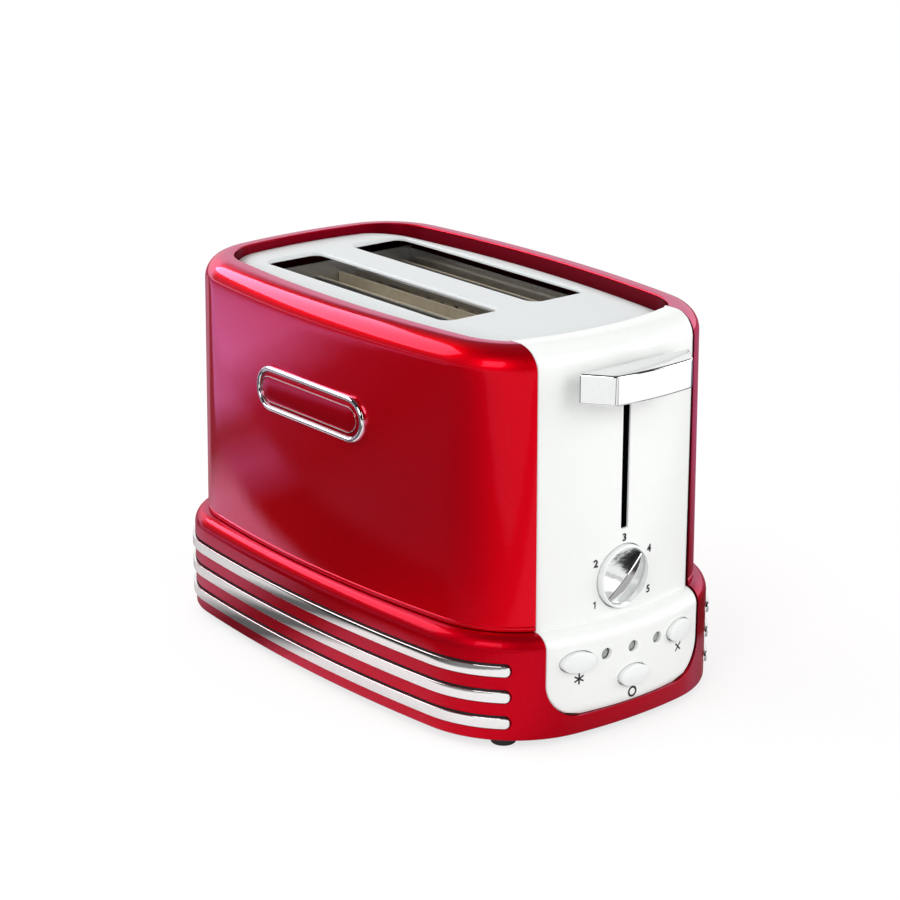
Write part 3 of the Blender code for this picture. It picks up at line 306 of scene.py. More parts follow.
chrome = metal("chrome", (0.9, 0.91, 0.91), 0.05, 0.03)
rolled_steel = metal("rolled_steel", (0.55, 0.55, 0.56), 0.34, 0.14, (1500.0, 40.0, 1500.0))
bright_sheet = metal("bright_sheet", (0.78, 0.78, 0.8), 0.24, 0.1, (1200.0, 60.0, 60.0))
spring_steel = metal("spring_steel", (0.5, 0.5, 0.52), 0.25, 0.1)
copper = metal("copper_winding", (0.62, 0.26, 0.1), 0.3, 0.1, (300.0, 300.0, 3000.0))

# %% [markdown]
# ## Rubber, dark plastics, mica and the board
#
# These are dull and small. Each has its own grain: rubber a matt tooth, mica pale flakes, the
# circuit board the sheen of its lacquer.

# %% Dull finishes
def dull(name, colour, roughness, scale, spread=0.1, second=None):
    look = Look(name, colour)
    grain = look.noise(scale, detail=4)
    other = second or tuple(part * 0.7 for part in colour)
    look.set(Base_Color=look.blend(grain, other, colour), Roughness=roughness + (grain - 0.5) * spread,
             Normal=look.bump(grain, 0.00003))
    return look

rubber = dull("rubber", (0.02, 0.02, 0.02), 0.75, 1800.0)
black_plastic = dull("black_plastic", (0.02, 0.02, 0.022), 0.45, 900.0)
mica = dull("mica", (0.62, 0.55, 0.42), 0.5, 260.0, second=(0.42, 0.34, 0.22))
board_green = dull("board_green", (0.02, 0.2, 0.07), 0.35, 500.0)
moulded_grey = dull("moulded_grey", (0.12, 0.13, 0.17), 0.5, 700.0)
ceramic = dull("terminal_cream", (0.7, 0.68, 0.6), 0.45, 600.0)
print(len(bpy.data.materials), "materials")

# %% [markdown]
# ## Shapes
#
# Most pieces here are skins between rings of points. A bmesh builds them, a Boolean cuts the
# openings, and one function then names the piece, gives it its finish and lets it ride on its body.

# %% Skins between rings
weld = 0.001 * mm


def loft(rings, closed=False):
    """Skin between rings of equally many points. The ends are capped unless it closes on itself."""
    bm = bmesh.new()
    rows = [[bm.verts.new(point) for point in ring] for ring in rings]
    count = len(rows[0])
    following = rows[1:] + rows[:1] if closed else rows[1:]
    for row, after in zip(rows, following):
        for k in range(count):
            n = (k + 1) % count
            bm.faces.new((row[k], row[n], after[n], after[k]))
    if not closed:
        bm.faces.new(rows[0])
        bm.faces.new(reversed(rows[-1]))
    bmesh.ops.recalc_face_normals(bm, faces=bm.faces)
    return bm


def sheet(front, back):
    """A closed sheet between two grids of points of the same size."""
    bm = bmesh.new()
    grids = [[[bm.verts.new(point) for point in row] for row in grid] for grid in (front, back)]
    rows, columns = len(front), len(front[0])
    for grid in grids:
        for i in range(rows - 1):
            for k in range(columns - 1):
                bm.faces.new((grid[i][k], grid[i][k + 1], grid[i + 1][k + 1], grid[i + 1][k]))
    edge = [(0, k) for k in range(columns)] + [(i, columns - 1) for i in range(1, rows)]
    edge += [(rows - 1, k) for k in range(columns - 2, -1, -1)] + [(i, 0) for i in range(rows - 2, 0, -1)]
    for (i, k), (m, n) in zip(edge, edge[1:] + edge[:1]):
        bm.faces.new((grids[0][i][k], grids[0][m][n], grids[1][m][n], grids[1][i][k]))
    bmesh.ops.recalc_face_normals(bm, faces=bm.faces)
    return bm


def turned(profile, sides=64):
    """A profile of (radius, height) pairs turned about z. Ends on the axis close it."""
    rings = []
    for radius, z in profile:
        turns = [2 * pi * k / sides for k in range(sides)]
        rings.append([(radius * cos(turn), radius * sin(turn), z) for turn in turns])
    bm = loft(rings, closed=profile[0][0] > 0)
    bmesh.ops.remove_doubles(bm, verts=bm.verts, dist=weld)
    return bm


def block(low, high):
    bm = bmesh.new()
    bmesh.ops.create_cube(bm, size=1)
    low, high = Vector(low), Vector(high)
    bmesh.ops.scale(bm, vec=high - low, verts=bm.verts)
    bmesh.ops.translate(bm, vec=(high + low) / 2, verts=bm.verts)
    return bm

# %% Cutting, and finishing a piece
def to_object(bm, name):
    mesh = bpy.data.meshes.new(name)
    bm.to_mesh(mesh)
    bm.free()
    made = bpy.data.objects.new(name, mesh)
    bpy.context.scene.collection.objects.link(made)
    return made


def together(shapes):
    """Several closed shapes in one bmesh."""
    whole = shapes[0]
    for shape in shapes[1:]:
        mesh = bpy.data.meshes.new("part")
        shape.to_mesh(mesh)
        shape.free()
        whole.from_mesh(mesh)
        bpy.data.meshes.remove(mesh)
    return whole


def cut(bm, cutters):
    """The shape after a Boolean with all the cutters, which don't touch each other."""
    body = to_object(bm, "cut_body")
    tool = to_object(together(cutters), "cut_tool")
    modifier = body.modifiers.new("cut", "BOOLEAN")
    modifier.operation = "DIFFERENCE"
    modifier.object = tool
    evaluated = body.evaluated_get(bpy.context.evaluated_depsgraph_get())
    result = bmesh.new()
    result.from_mesh(evaluated.to_mesh())
    for done in (body, tool):
        bpy.data.objects.remove(done)
    return result


def bevelled(bm, width, angle, segments):
    """The shape with every edge broken that is sharper than the angle."""
    sharp = [edge for edge in bm.edges if edge.is_manifold and edge.calc_face_angle() > radians(angle)]
    bmesh.ops.bevel(bm, geom=sharp, offset=width, segments=segments, profile=0.5, affect="EDGES")
    return bm


def piece(name, bm, look, body, slot, *replaced, sharp=35, at=None, flat=False):
    """Names the shape, puts it in place, and gives it its finish and the body it rides on."""
    if at is not None:
        bm.transform(at)
    bm.transform(Matrix.Translation((0, middle, 0)))
    made = to_object(bm, name)
    made.data.shade_smooth()
    made.data.set_sharp_from_angle(angle=radians(sharp))
    made.data.materials.append(look.material)
    if flat:
        made.modifiers.new("flat_faces", "WEIGHTED_NORMAL").keep_sharp = True
    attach(made, body)
    if replaced:
        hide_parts(*replaced)
    print(name, len(made.data.polygons), "faces on", body)

# %% [markdown]
# ## Plan outlines
#
# Seen from above, casing and base are the same kind of oval: three arcs to a quarter that run into
# each other without a corner. Each point keeps its outward direction, so that a wall, a groove or a
# rim can be set off from the outline at any distance.

# %% Three arcs to a quarter
def corner_centre(plan, reach, end_radius, corner):
    """Centre of the corner arc, with those of the side and end arcs that it runs into."""
    side = Vector((plan.half - plan.side_radius, 0))
    end = Vector((0, reach - end_radius))
    between = end - side
    from_side = plan.side_radius - corner
    from_end = end_radius - corner
    along = (from_side ** 2 - from_end ** 2 + between.length_squared) / (2 * between.length)
    aside = sqrt(from_side ** 2 - along ** 2)
    unit = between.normalized()
    return side + unit * along + Vector((-unit.y, unit.x)) * aside, side, end


def quarter(plan, reach, end_radius, corner, steps):
    """(x, y, normal x, normal y) from the widest place to the middle of an end."""
    centre, side, end = corner_centre(plan, reach, end_radius, corner)
    first = atan2((centre - side).y, (centre - side).x)
    second = atan2((centre - end).y, (centre - end).x)
    arcs = ((side, plan.side_radius, 0, first), (centre, corner, first, second),
            (end, end_radius, second, pi / 2))
    points = []
    for (about, radius, start, stop), count in zip(arcs, steps):
        for k in range(count):
            turn = start + (stop - start) * k / count
            points.append((about.x + radius * cos(turn), about.y + radius * sin(turn), cos(turn), sin(turn)))
    return points + [(0, reach, 0, 1)]


def whole_path(plan):
    """From the middle of the front along the +x side to the middle of the back, and round again."""
    steps = (16, 22, 14)
    front = quarter(plan, plan.front, plan.front_radius, plan.front_corner, steps)
    back = quarter(plan, plan.back, plan.back_radius, plan.back_corner, steps)
    half = [(x, -y, nx, -ny) for x, y, nx, ny in reversed(front)][:-1] + back
    return half + [(-x, y, -nx, ny) for x, y, nx, ny in reversed(half[1:-1])]


def set_in(path, inset, z, share=1.0):
    return [Vector(((x - nx * inset) * share, (y - ny * inset) * share, z)) for x, y, nx, ny in path]


def drawn_in(z):
    """How far the casing has narrowed at a height."""
    return 1 - (1 - top_share) * (z - seam) / (height - seam)


casing_path = whole_path(casing)
skirt_path = whole_path(skirt)
print(len(casing_path), "points round the casing")

# %% Arcs and rounded outlines
def arc(middle_a, middle_b, radius, start, stop, steps):
    turns = [start + (stop - start) * k / steps for k in range(steps + 1)]
    return [(middle_a + radius * cos(turn), middle_b + radius * sin(turn)) for turn in turns]


def rounded(half_a, half_b, radius, middle_a, middle_b):
    """A rectangle with round corners, anticlockwise."""
    steps = 8
    points = []
    for quadrant, (sign_a, sign_b) in enumerate(((1, 1), (-1, 1), (-1, -1), (1, -1))):
        start = quadrant * pi / 2
        centre_a = middle_a + sign_a * (half_a - radius)
        centre_b = middle_b + sign_b * (half_b - radius)
        points += arc(centre_a, centre_b, radius, start, start + pi / 2, steps)
    return points


def oval(half_a, half_b, middle_a, middle_b, count=48):
    turns = [2 * pi * k / count for k in range(count)]
    return [(middle_a + half_a * cos(turn), middle_b + half_b * sin(turn)) for turn in turns]

# %% The front panel's bow, outline and side view
def panel_bow(x):
    return panel_radius - sqrt(panel_radius ** 2 - x ** 2)


def panel_y(x, behind):
    return panel_bow(x) - panel_front + behind


def panel_outline(grown):
    """The panel seen from the front: straight sides, round lower corners, open to the top."""
    half = panel_half + grown
    low = panel_bottom - grown
    radius = panel_corner + grown
    right = arc(half - radius, low + radius, radius, -pi / 2, 0, 16)
    left = [(-x, z) for x, z in reversed(right)]
    return left + right + [(half, height + beyond), (-half, height + beyond)]


def through(outline, low, high):
    """An outline in x and z, run along y."""
    return loft([[(x, y, z) for x, z in outline] for y in (low, high)])

# %% [markdown]
# ## The casing
#
# A deep-drawn shell with a rolled rim: the wall rises with a slight taper, turns over in a wide
# round, runs flat for a few millimetres and drops down inside as a flange. Just above the seam a
# pressed line runs right round. The shell is lofted ring by ring from that section. The front is
# then cut away for the panel, with a prism a hair wider than the panel.

# %% Casing
hem_height = 2.6 * mm
hem_depth = 0.35 * mm
hem_clear = 4 * mm
rolled_edge = 0.6 * mm


def casing_section():
    """(inset, height) pairs: up the outside, over the rim, and down the inside."""
    bottom = seam + gap
    turn_start = height - rim_radius
    hem = bottom + hem_height
    section = [(rolled_edge, bottom), (rolled_edge / 3, bottom + rolled_edge / 3), (0, bottom + rolled_edge)]
    section += [(0, hem - hem_depth), (hem_depth, hem), (0, hem + hem_depth)]
    section += [(0, hem + hem_clear), (0, turn_start - hem_clear)]
    section += arc(rim_radius, turn_start, rim_radius, pi, pi / 2, 16)
    section += arc(rim_width - rim_edge, height - rim_edge, rim_edge, pi / 2, 0, 5)
    section += [(rim_width, height - rim_flange), (rim_width - shell_wall, height - rim_flange)]
    section += [(rim_width - shell_wall, height - shell_wall)]
    section += arc(rim_radius, turn_start, rim_radius - shell_wall, pi / 2, pi, 10)
    section += [(shell_wall, bottom)]
    return section


def make_casing():
    rings = [set_in(casing_path, inset, z, drawn_in(z)) for inset, z in casing_section()]
    back = rim_width + rim_edge + crest_depth - casing.front
    opening = through(panel_outline(gap), -skirt.front - beyond, back)
    shell = cut(loft(rings, closed=True), [opening])
    piece("casing_skin", shell, red_enamel, "casing", "red_enamel", "outer_shell")


make_casing()

# %% [markdown]
# ## The base and its chrome strips
#
# The base flares out under the casing in a rounded shoulder, and its sides carry three chrome
# strips. On the real base each strip lies in a channel, which shows as a dark line above and below
# the metal. The channels are part of the skirt's section, so they are drawn into the rings and fade
# out at the ends of the strips. A black band behind each strip, a hair wider than it, is painted
# shade that darkens the channel.

# %% Where the strips run
strip_lowest = 13.6 * mm
strip_pitch = 13.65 * mm
strip_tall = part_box("trim_left_lower")[1].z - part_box("trim_left_lower")[0].z
strip_front = 65.8 * mm
strip_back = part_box("crumb_tray")[1].x + 10 * mm
strip_proud = 1.5 * mm
strip_edge = 0.35 * mm
channel_spare = 0.65 * mm
channel_depth = 1.8 * mm
channel_wall = 0.2 * mm
end_reach = 6 * mm
end_steps = 12
flattest_end = 0.3
levels = {name: strip_lowest + k * strip_pitch for k, name in enumerate(("lower", "middle", "upper"))}
print("strips", round(strip_tall / mm, 2), "tall")


def refined(path, partner):
    """The plan, and a partner of it, with many more points where a strip ends, so that it ends round."""
    points, partners = [], []
    count = len(path)
    for k in range(count):
        a, b = path[k], path[(k + 1) % count]
        c, d = partner[k], partner[(k + 1) % count]
        end = strip_front if a[1] < 0 else strip_back
        near = min(abs(a[0]), abs(b[0])) < end + end_reach and max(abs(a[0]), abs(b[0])) > end - end_reach
        steps = end_steps if near else 1
        for step in range(steps):
            points.append(tuple(p + (q - p) * step / steps for p, q in zip(a, b)))
            partners.append(tuple(p + (q - p) * step / steps for p, q in zip(c, d)))
    return points, partners


def past_end(x, y, ny):
    """How far along the wall a point lies inside the nearest strip end; below zero it is outside."""
    end = strip_front if y < 0 else strip_back
    return (abs(x) - end) / max(abs(ny), flattest_end)


def round_end(half, inside):
    """Half the height of a round-ended bar, so far inside its end."""
    if inside <= 0:
        return 0
    return half if inside >= half else sqrt(half ** 2 - (half - inside) ** 2)


def channel_ring(z, up, deep):
    """One edge of a channel: on the wall, or at the bottom of the channel."""
    half = strip_tall / 2 + channel_spare
    ring = []
    for x, y, nx, ny in wall_path:
        tall = round_end(half, past_end(x, y, ny) + channel_spare)
        depth = channel_depth * min(1, tall / channel_depth) * deep
        reach = max(tall, 3 * channel_wall) + (0 if deep else channel_wall)
        ring.append(Vector((x - nx * depth, y - ny * depth, z + up * reach)))
    return ring


wall_path, ledge_path = refined(skirt_path, casing_path)
print(len(wall_path), "points round the skirt")

# %% Base
skirt_edge = 1.1 * mm
shoulder_steps = 14
inlet_bore = 5.3 * mm
inlet_height = 34 * mm


def make_base():
    rings = [set_in(wall_path, base_wall, skirt_bottom)]
    lower_edge = arc(skirt_edge, skirt_bottom + skirt_edge, skirt_edge, -pi / 2, -pi, 5)
    rings += [set_in(wall_path, inset, z) for inset, z in lower_edge]
    for z in levels.values():
        rings += [channel_ring(z, up, deep) for up, deep in ((-1, 0), (-1, 1), (1, 1), (1, 0))]
    outer = set_in(wall_path, 0, 0)
    inner = set_in(ledge_path, 0, 0)
    for k in range(shoulder_steps + 1):
        turn = pi / 2 * k / shoulder_steps
        z = seam - shoulder_drop * (1 - sin(turn))
        points = [a.lerp(b, 1 - cos(turn)) for a, b in zip(outer, inner)]
        rings.append([Vector((point.x, point.y, z)) for point in points])
    rings.append(set_in(ledge_path, ledge_seat, seam))
    rings.append(set_in(ledge_path, ledge_seat, seam - base_wall))
    rings.append(set_in(wall_path, base_wall, seam - shoulder_drop - base_wall))
    opening = through(panel_outline(gap), -skirt.front - beyond, ledge_seat + rim_width - casing.front)
    low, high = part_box("crumb_tray")
    tray = block((low.x - running_gap, 0, skirt_bottom - beyond),
                 (high.x + running_gap, skirt.back + beyond, high.z + running_gap))
    inner_end = -base_wall - beyond
    inlet = turned([(0, beyond), (inlet_bore, beyond), (inlet_bore, inner_end), (0, inner_end)])
    inlet.transform(Matrix.Translation((0, skirt.back, inlet_height)) @ Matrix.Rotation(radians(-90), 4, "X"))
    base = cut(cut(loft(rings, closed=True), [opening]), [tray, inlet])
    piece("base_skin", base, red_moulding, "casing", "red_moulding", "base_shell")


make_base()

# %% Chrome strips
quarter_turn = [radians(angle) for angle in (0, 22.5, 45, 67.5, 90)]
strip_spare = 0.1 * mm
thinnest_end = 0.3 * mm
shade_line_spare = 0.5 * mm
shade_line_back = -1.5 * mm
shade_line_front = -0.15 * mm


def along_strip(path):
    """The plan's points between the two ends of a strip, each with its distance to the nearer end."""
    kept = [(x, y, nx, ny) for x, y, nx, ny in path if x > 0 and past_end(x, y, ny) > 0]
    lengths = [0]
    for a, b in zip(kept, kept[1:]):
        lengths.append(lengths[-1] + (Vector(b[:2]) - Vector(a[:2])).length)
    return [(point, min(along, lengths[-1] - along)) for point, along in zip(kept, lengths)]


def strip_section(inside):
    """(outward, up) pairs of a flat bar with a rounded edge that also runs round its end."""
    upper = []
    for slope in quarter_turn:
        inset = strip_edge * (1 - sin(slope))
        drop = max(strip_edge * (1 - cos(slope)), strip_edge - inside)
        tall = round_end(strip_tall / 2 - inset, inside + strip_spare - inset)
        upper.append((strip_proud - drop, max(tall, thinnest_end - inset / 2)))
    upper.append((gap, upper[-1][1]))
    return [(out, -up) for out, up in reversed(upper)] + upper


def shade_line_section(inside):
    """(outward, up) pairs of a black band behind the bar, a hair wider than it: painted shade in the channel.
    """
    tall = max(round_end(strip_tall / 2 + shade_line_spare, inside), thinnest_end)
    return [(shade_line_back, -tall), (shade_line_front, -tall), (shade_line_front, tall), (shade_line_back, tall)]


def run_along(section, z, side):
    """A section carried along the wall from one end of a strip to the other."""
    sections = []
    for (x, y, nx, ny), inside in along_strip(wall_path):
        sections.append([(side * (x + nx * out), y + ny * out, z + up) for out, up in section(inside)])
    return loft(sections)


for level_name, z in levels.items():
    for side, side_name in ((-1, "left"), (1, "right")):
        name = side_name + "_" + level_name
        strip = run_along(strip_section, z, side)
        piece("strip_" + name, strip, chrome, "casing", "chrome", "trim_" + name)
        # A black band behind each strip: painted shade that darkens its channel.
        piece("seal_" + name, run_along(shade_line_section, z, side), black_plastic, "casing", "black_plastic")

# %% [markdown]
# ## The control panel
#
# One moulding covers the whole front: the lower part with the buttons, a rounded shoulder, the tall
# face with the lever's slot, and a crest that rolls over the top. It is drawn as a grid of points,
# with rows up the side view and columns across, so that its outer edge can be rounded by pulling
# the last columns back. Holes are cut by prisms that widen at the surface, which breaks their
# edges. A thin black band in the gap to the red parts is painted shade: it draws the dark line of
# shadow round the panel.

# %% Side view of the panel
lower_rows, shoulder_rows, face_rows, bend_rows, top_rows, end_rows = 16, 14, 20, 14, 5, 6


def panel_side_view(wall):
    """(behind, height) pairs from the bottom edge up and over the crest, for a face or its inside."""
    low = panel_bottom
    shoulder_start = shoulder_top - panel_shoulder
    bend = height - rim_radius
    view = [(wall - panel_step, low + (shoulder_start - low) * k / lower_rows) for k in range(lower_rows)]
    for k in range(shoulder_rows + 1):
        turn = pi / 2 * k / shoulder_rows
        view.append((wall - panel_step * cos(turn),
                     shoulder_start - wall * k / shoulder_rows + panel_shoulder * sin(turn)))
    start, foot = view[-1]
    rise = bend - foot
    view += [(start + panel_lean * k / face_rows, foot + rise * k / face_rows) for k in range(1, face_rows)]
    over = arc(rim_radius, bend, rim_radius - wall, pi, pi / 2, bend_rows)
    view += [(panel_lean + behind, z) for behind, z in over]
    end = crest_depth + crest_dip - wall
    start, top = view[-1]
    view += [(start + (crest_depth - start - wall) * k / top_rows, top) for k in range(1, top_rows + 1)]
    view += arc(end - crest_dip, top - crest_dip, crest_dip, pi / 2, 0, end_rows)[1:]
    return view + [(end, height - crest_skirt)]


def edge_distance(x, z):
    """How far a point of the panel lies inside its outline."""
    across = abs(x) - (panel_half - panel_corner)
    down = (panel_bottom + panel_corner) - z
    corner = sqrt(max(across, 0) ** 2 + max(down, 0) ** 2)
    return panel_corner - corner - min(max(across, down), 0)


def half_width_at(z):
    down = panel_bottom + panel_corner - z
    if down <= 0:
        return panel_half
    return panel_half - panel_corner + sqrt(max(panel_corner ** 2 - down ** 2, 0))


edge_round = 1.0 * mm
inside_round = 0.01 * mm
columns = 72


def panel_grid(wall, rounding):
    """Rows of points over the face, or over its inside, with the outer edge rounded."""
    shares = [sin(pi / 2 * (2 * k / columns - 1)) for k in range(columns + 1)]
    grid = []
    for behind, z in panel_side_view(wall):
        row = []
        for share in shares:
            x = half_width_at(z) * share
            inside = min(max(edge_distance(x, z), 0), rounding)
            pulled = rounding - sqrt(rounding ** 2 - (rounding - inside) ** 2)
            row.append((x, panel_y(x, behind + pulled), z))
        grid.append(row)
    return grid

# %% Openings in the panel
slot_half = 2.4 * mm
slot_bottom = 101.8 * mm
slot_top = 184.9 * mm
knob_z = 77 * mm
knob_radius = 16.3 * mm
buttons = {"left": (-34 * mm, 41.7 * mm), "middle": (0, 27.4 * mm), "right": (34 * mm, 41.7 * mm)}
button_half = 9.25 * mm
button_tall = 5.25 * mm
lenses = {"left": -17 * mm, "middle": 0, "right": 17 * mm}
lens_z = 42.3 * mm
lens_radius = 2.75 * mm
for name, (x, z) in buttons.items():
    low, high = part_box("button_" + name)
    print(name, [round(v / mm, 1) for v in (low.x, high.x, low.z, high.z)])


def in_millimetres(*pairs):
    return tuple((a * mm, b * mm) for a, b in pairs)


def hole(outline_at, start, depths):
    """A cutter that follows the panel's bow, from (grown, behind) pairs."""
    rings = []
    for grown, behind in depths:
        rings.append([(x, panel_y(x, start + behind), z) for x, z in outline_at(grown)])
    return loft(rings)


def oval_hole(half_a, half_b, x, z, start, depths, count=48):
    return hole(lambda grown: oval(half_a + grown, half_b + grown, x, z, count), start, depths)


chamfer = in_millimetres((1.6, -1.2), (0.45, -0.02), (0.16, 0.14), (0, 0.45), (0, 14))
fine_edge = in_millimetres((1.3, -1.2), (0.2, -0.02), (0.07, 0.07), (0, 0.2))
fine_chamfer = fine_edge + in_millimetres((0, 14))
relieved = fine_edge + in_millimetres((0, 1.5), (1.3, 1.6), (1.3, 14))


def slot_outline(grown):
    tall = (slot_top - slot_bottom) / 2
    return rounded(slot_half + grown, tall + grown, slot_half / 3 + grown, 0, (slot_bottom + slot_top) / 2)


def make_panel():
    cutters = [hole(slot_outline, 0, relieved)]
    radius = knob_radius + running_gap
    cutters.append(oval_hole(radius, radius, 0, knob_z, 0, chamfer, 96))
    half_a, half_b = button_half + running_gap, button_tall + running_gap
    for x, z in buttons.values():
        cutters.append(oval_hole(half_a, half_b, x, z, -panel_step, chamfer))
    radius = lens_radius + gap
    for x in lenses.values():
        cutters.append(oval_hole(radius, radius, x, lens_z, -panel_step, fine_chamfer, 32))
    panel = cut(sheet(panel_grid(0, edge_round), panel_grid(panel_wall, inside_round)), cutters)
    piece("panel_face", panel, panel_white, "casing", "white_plastic", "front_panel")


make_panel()

# %% Painted shade in the gap round the panel
shade_band_front = 0.9 * mm
shade_band_deep = 5 * mm
shade_band_inside = 0.03 * mm
shade_band_top = height - rim_radius - 2 * mm
shade_band_rows = 100
shade_band_columns = 10


def step_at(z):
    """How far the panel stands out at a height, over its tall face."""
    up = (z - (shoulder_top - panel_shoulder)) / panel_shoulder
    return panel_step * sqrt(1 - min(max(up, 0), 1) ** 2)


def shade_band_outline(grown):
    half = panel_half + grown
    low = panel_bottom - grown
    radius = panel_corner + grown
    right = arc(half - radius, low + radius, radius, -pi / 2, 0, 24)
    rise = shade_band_top - right[-1][1]
    right += [(half, right[-1][1] + rise * k / shade_band_rows) for k in range(1, shade_band_rows + 1)]
    across = (half - radius) / shade_band_columns
    flat = [(across * k, low) for k in range(1 - shade_band_columns, shade_band_columns)]
    return [(-x, z) for x, z in reversed(right)] + flat + right


sections = []
for (x, z), (a, b) in zip(shade_band_outline(shade_band_inside), shade_band_outline(gap - shade_band_inside)):
    front = shade_band_front - step_at(z)
    back = front + shade_band_deep
    corners = ((x, z, front), (a, b, front), (a, b, back), (x, z, back))
    sections.append([(u, panel_y(u, behind), v) for u, v, behind in corners])
# A black band in the gap round the panel: painted shade that draws the dark line there.
piece("panel_shade_band", loft(sections), rubber, "casing", "rubber")

# %% [markdown]
# ## The deck with its two slots
#
# Inside the rim lies a white deck that rises gently from its edge and carries the slots. Their
# edges are rounded so that bread slides in.

# %% Deck
top_height = height - 3 * mm
deck_thick = 2 * mm
side_drop = 5.7 * mm
end_drop = 2 * mm
band = 22 * mm
slot_web = 22 * mm
slot_width = 35.5 * mm
slot_front = 83 * mm - casing.front
slot_back = casing.back - 44.6 * mm
slot_corner = 6 * mm
slot_lip = 1.8 * mm
slot_x = (slot_web + slot_width) / 2
deck_rings = 14
crest_steps = 24
under_deck = top_height - deck_thick - side_drop - beyond


def deck_blank():
    """The domed plate before its openings: steepest at the edge, level further in."""
    share = drawn_in(height)
    upper, lower = [], []
    for k in range(deck_rings + 1):
        part = k / deck_rings
        tops = []
        edge = set_in(casing_path, rim_width + gap + band * part, 0, share)
        for point, (_, _, nx, ny) in zip(edge, casing_path):
            drop = side_drop * nx ** 2 + end_drop * ny ** 2
            tops.append(Vector((point.x, point.y, top_height - drop * (1 - part) ** 2)))
        upper.append(tops)
        lower.append([point - Vector((0, 0, deck_thick)) for point in tops])
    return loft(list(reversed(lower)) + upper)


def slot_cutter(side):
    """A slot with a lip that opens upwards in a round."""
    lip = [(0, under_deck), (0, top_height - slot_lip)]
    for turn in (radians(angle) for angle in (20, 40, 60, 80)):
        lip.append((slot_lip * (1 - cos(turn)), top_height - slot_lip * (1 - sin(turn))))
    rings = []
    for grown, z in lip + [(slot_lip, top_height + beyond)]:
        outline = rounded(slot_width / 2 + grown, (slot_back - slot_front) / 2 + grown, slot_corner + grown,
                          side * slot_x, (slot_front + slot_back) / 2)
        rings.append([(x, y, z) for x, y in outline])
    return loft(rings)


def crest_cutter():
    half = panel_half + gap
    across = [half * (2 * k / crest_steps - 1) for k in range(crest_steps + 1)]
    crest = [(x, panel_y(x, crest_depth + crest_dip + gap)) for x in across]
    crest += [(half, -casing.front), (-half, -casing.front)]
    return loft([[(x, y, z) for x, y in crest] for z in (under_deck, height)])


deck = cut(deck_blank(), [slot_cutter(-1), slot_cutter(1), crest_cutter()])
piece("deck", deck, deck_white, "casing", "white_plastic", "top_plate")

# %% [markdown]
# ## The lever's handle
#
# A box-like chromed moulding: a bowed front, ends that run back outwards to the panel, and edges
# that are only just broken. Its outline in plan is a polygon with an arc in each corner, and a
# bevel along top and bottom gives chrome the narrow bright lines by which an edge is seen.

# %% Outlines with rounded corners
def filleted(corners):
    """A closed outline from (a, b, radius) corners, with an arc in each that has a radius."""
    steps = 6
    points = []
    count = len(corners)
    for k in range(count):
        before, here, after = (Vector(corners[(k + step) % count][:2]) for step in (-1, 0, 1))
        radius = corners[k][2]
        if radius == 0:
            points.append(tuple(here))
            continue
        to_before, to_after = (before - here).normalized(), (after - here).normalized()
        half = to_before.angle(to_after) / 2
        centre = here + (to_before + to_after).normalized() * radius / sin(half)
        spoke = here + to_before * radius / tan(half) - centre
        last = here + to_after * radius / tan(half) - centre
        start = atan2(spoke.y, spoke.x)
        turn = (atan2(last.y, last.x) - start + pi) % (2 * pi) - pi
        points += arc(centre.x, centre.y, radius, start, start + turn, steps)
    return points

# %% Lever handle
handle_low, handle_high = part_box("lever_handle")
handle_front_half = 25 * mm
handle_back_half = handle_high.x
handle_front = handle_low.y - middle
handle_back = handle_high.y - middle
handle_bow = 1.7 * mm
handle_corner = 5 * mm
handle_edge = 1.0 * mm
bow_steps = 6


def handle_outline():
    bowed = []
    for k in range(1, 2 * bow_steps):
        share = k / bow_steps - 1
        bowed.append((share * handle_front_half, handle_front + handle_bow * share ** 2, 0))
    front_end = handle_front + handle_bow
    return filleted([(-handle_front_half, front_end, handle_corner), *bowed,
                     (handle_front_half, front_end, handle_corner),
                     (handle_back_half, handle_back, 0), (-handle_back_half, handle_back, 0)])


outline = handle_outline()
handle = loft([[(x, y, z) for x, y in outline] for z in (handle_low.z, handle_high.z)])
piece("handle", bevelled(handle, handle_edge, 60, 4), chrome, "carriage", "chrome", "lever_handle", flat=True)

# %% [markdown]
# ## Painted shade behind the lever's slot
#
# The lever's arm runs between two black walls just behind the panel. They are painted shade: two
# thin blocks in a dead black finish, so that the slot shows as a plain dark line.

# %% Painted shade behind the lever's slot
shade_near = 3.9 * mm
shade_far = 5.1 * mm
shade_clear = 0.8 * mm
shade_deep = 20 * mm
shade_below = 4 * mm
shade_above = 2 * mm
shade_front = panel_wall - panel_front + shade_clear
shade_walls = []
for side in (-1, 1):
    shade_walls.append(block((side * shade_near, shade_front, slot_bottom - shade_below),
                             (side * shade_far, shade_front + shade_deep, slot_top + shade_above)))
# A dead black with hardly any gloss, for the painted shade in the slot.
slot_shade = dull("slot_shade_black", (0.006, 0.006, 0.006), 0.9, 600.0)
slot_shade.set(Specular_IOR_Level=0.05)
piece("slot_shade_walls", together(shade_walls), slot_shade, "casing", "black_plastic")

# %% [markdown]
# ## The browning knob
#
# The knob is a glossy white ring with a chromed insert in it. The insert has two facets that fall
# away from a ridge, and the ridge points at the chosen number. The ring is a turned profile. Each
# facet is a half disc with a slight crown, so that it doesn't mirror one single tone.

# %% Knob ring
knob_place = Matrix.Translation((0, -panel_front, knob_z)) @ Matrix.Rotation(radians(90), 4, "X")
knob_proud = 2.2 * mm
knob_depth = 3.15 * mm
ring_inner = 14.8 * mm
seat_depth = 2.3 * mm
shaft_radius = 3 * mm
shaft_end = -panel_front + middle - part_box("browning_knob")[1].y
ring_round = 0.9 * mm
ring_break = 0.5 * mm

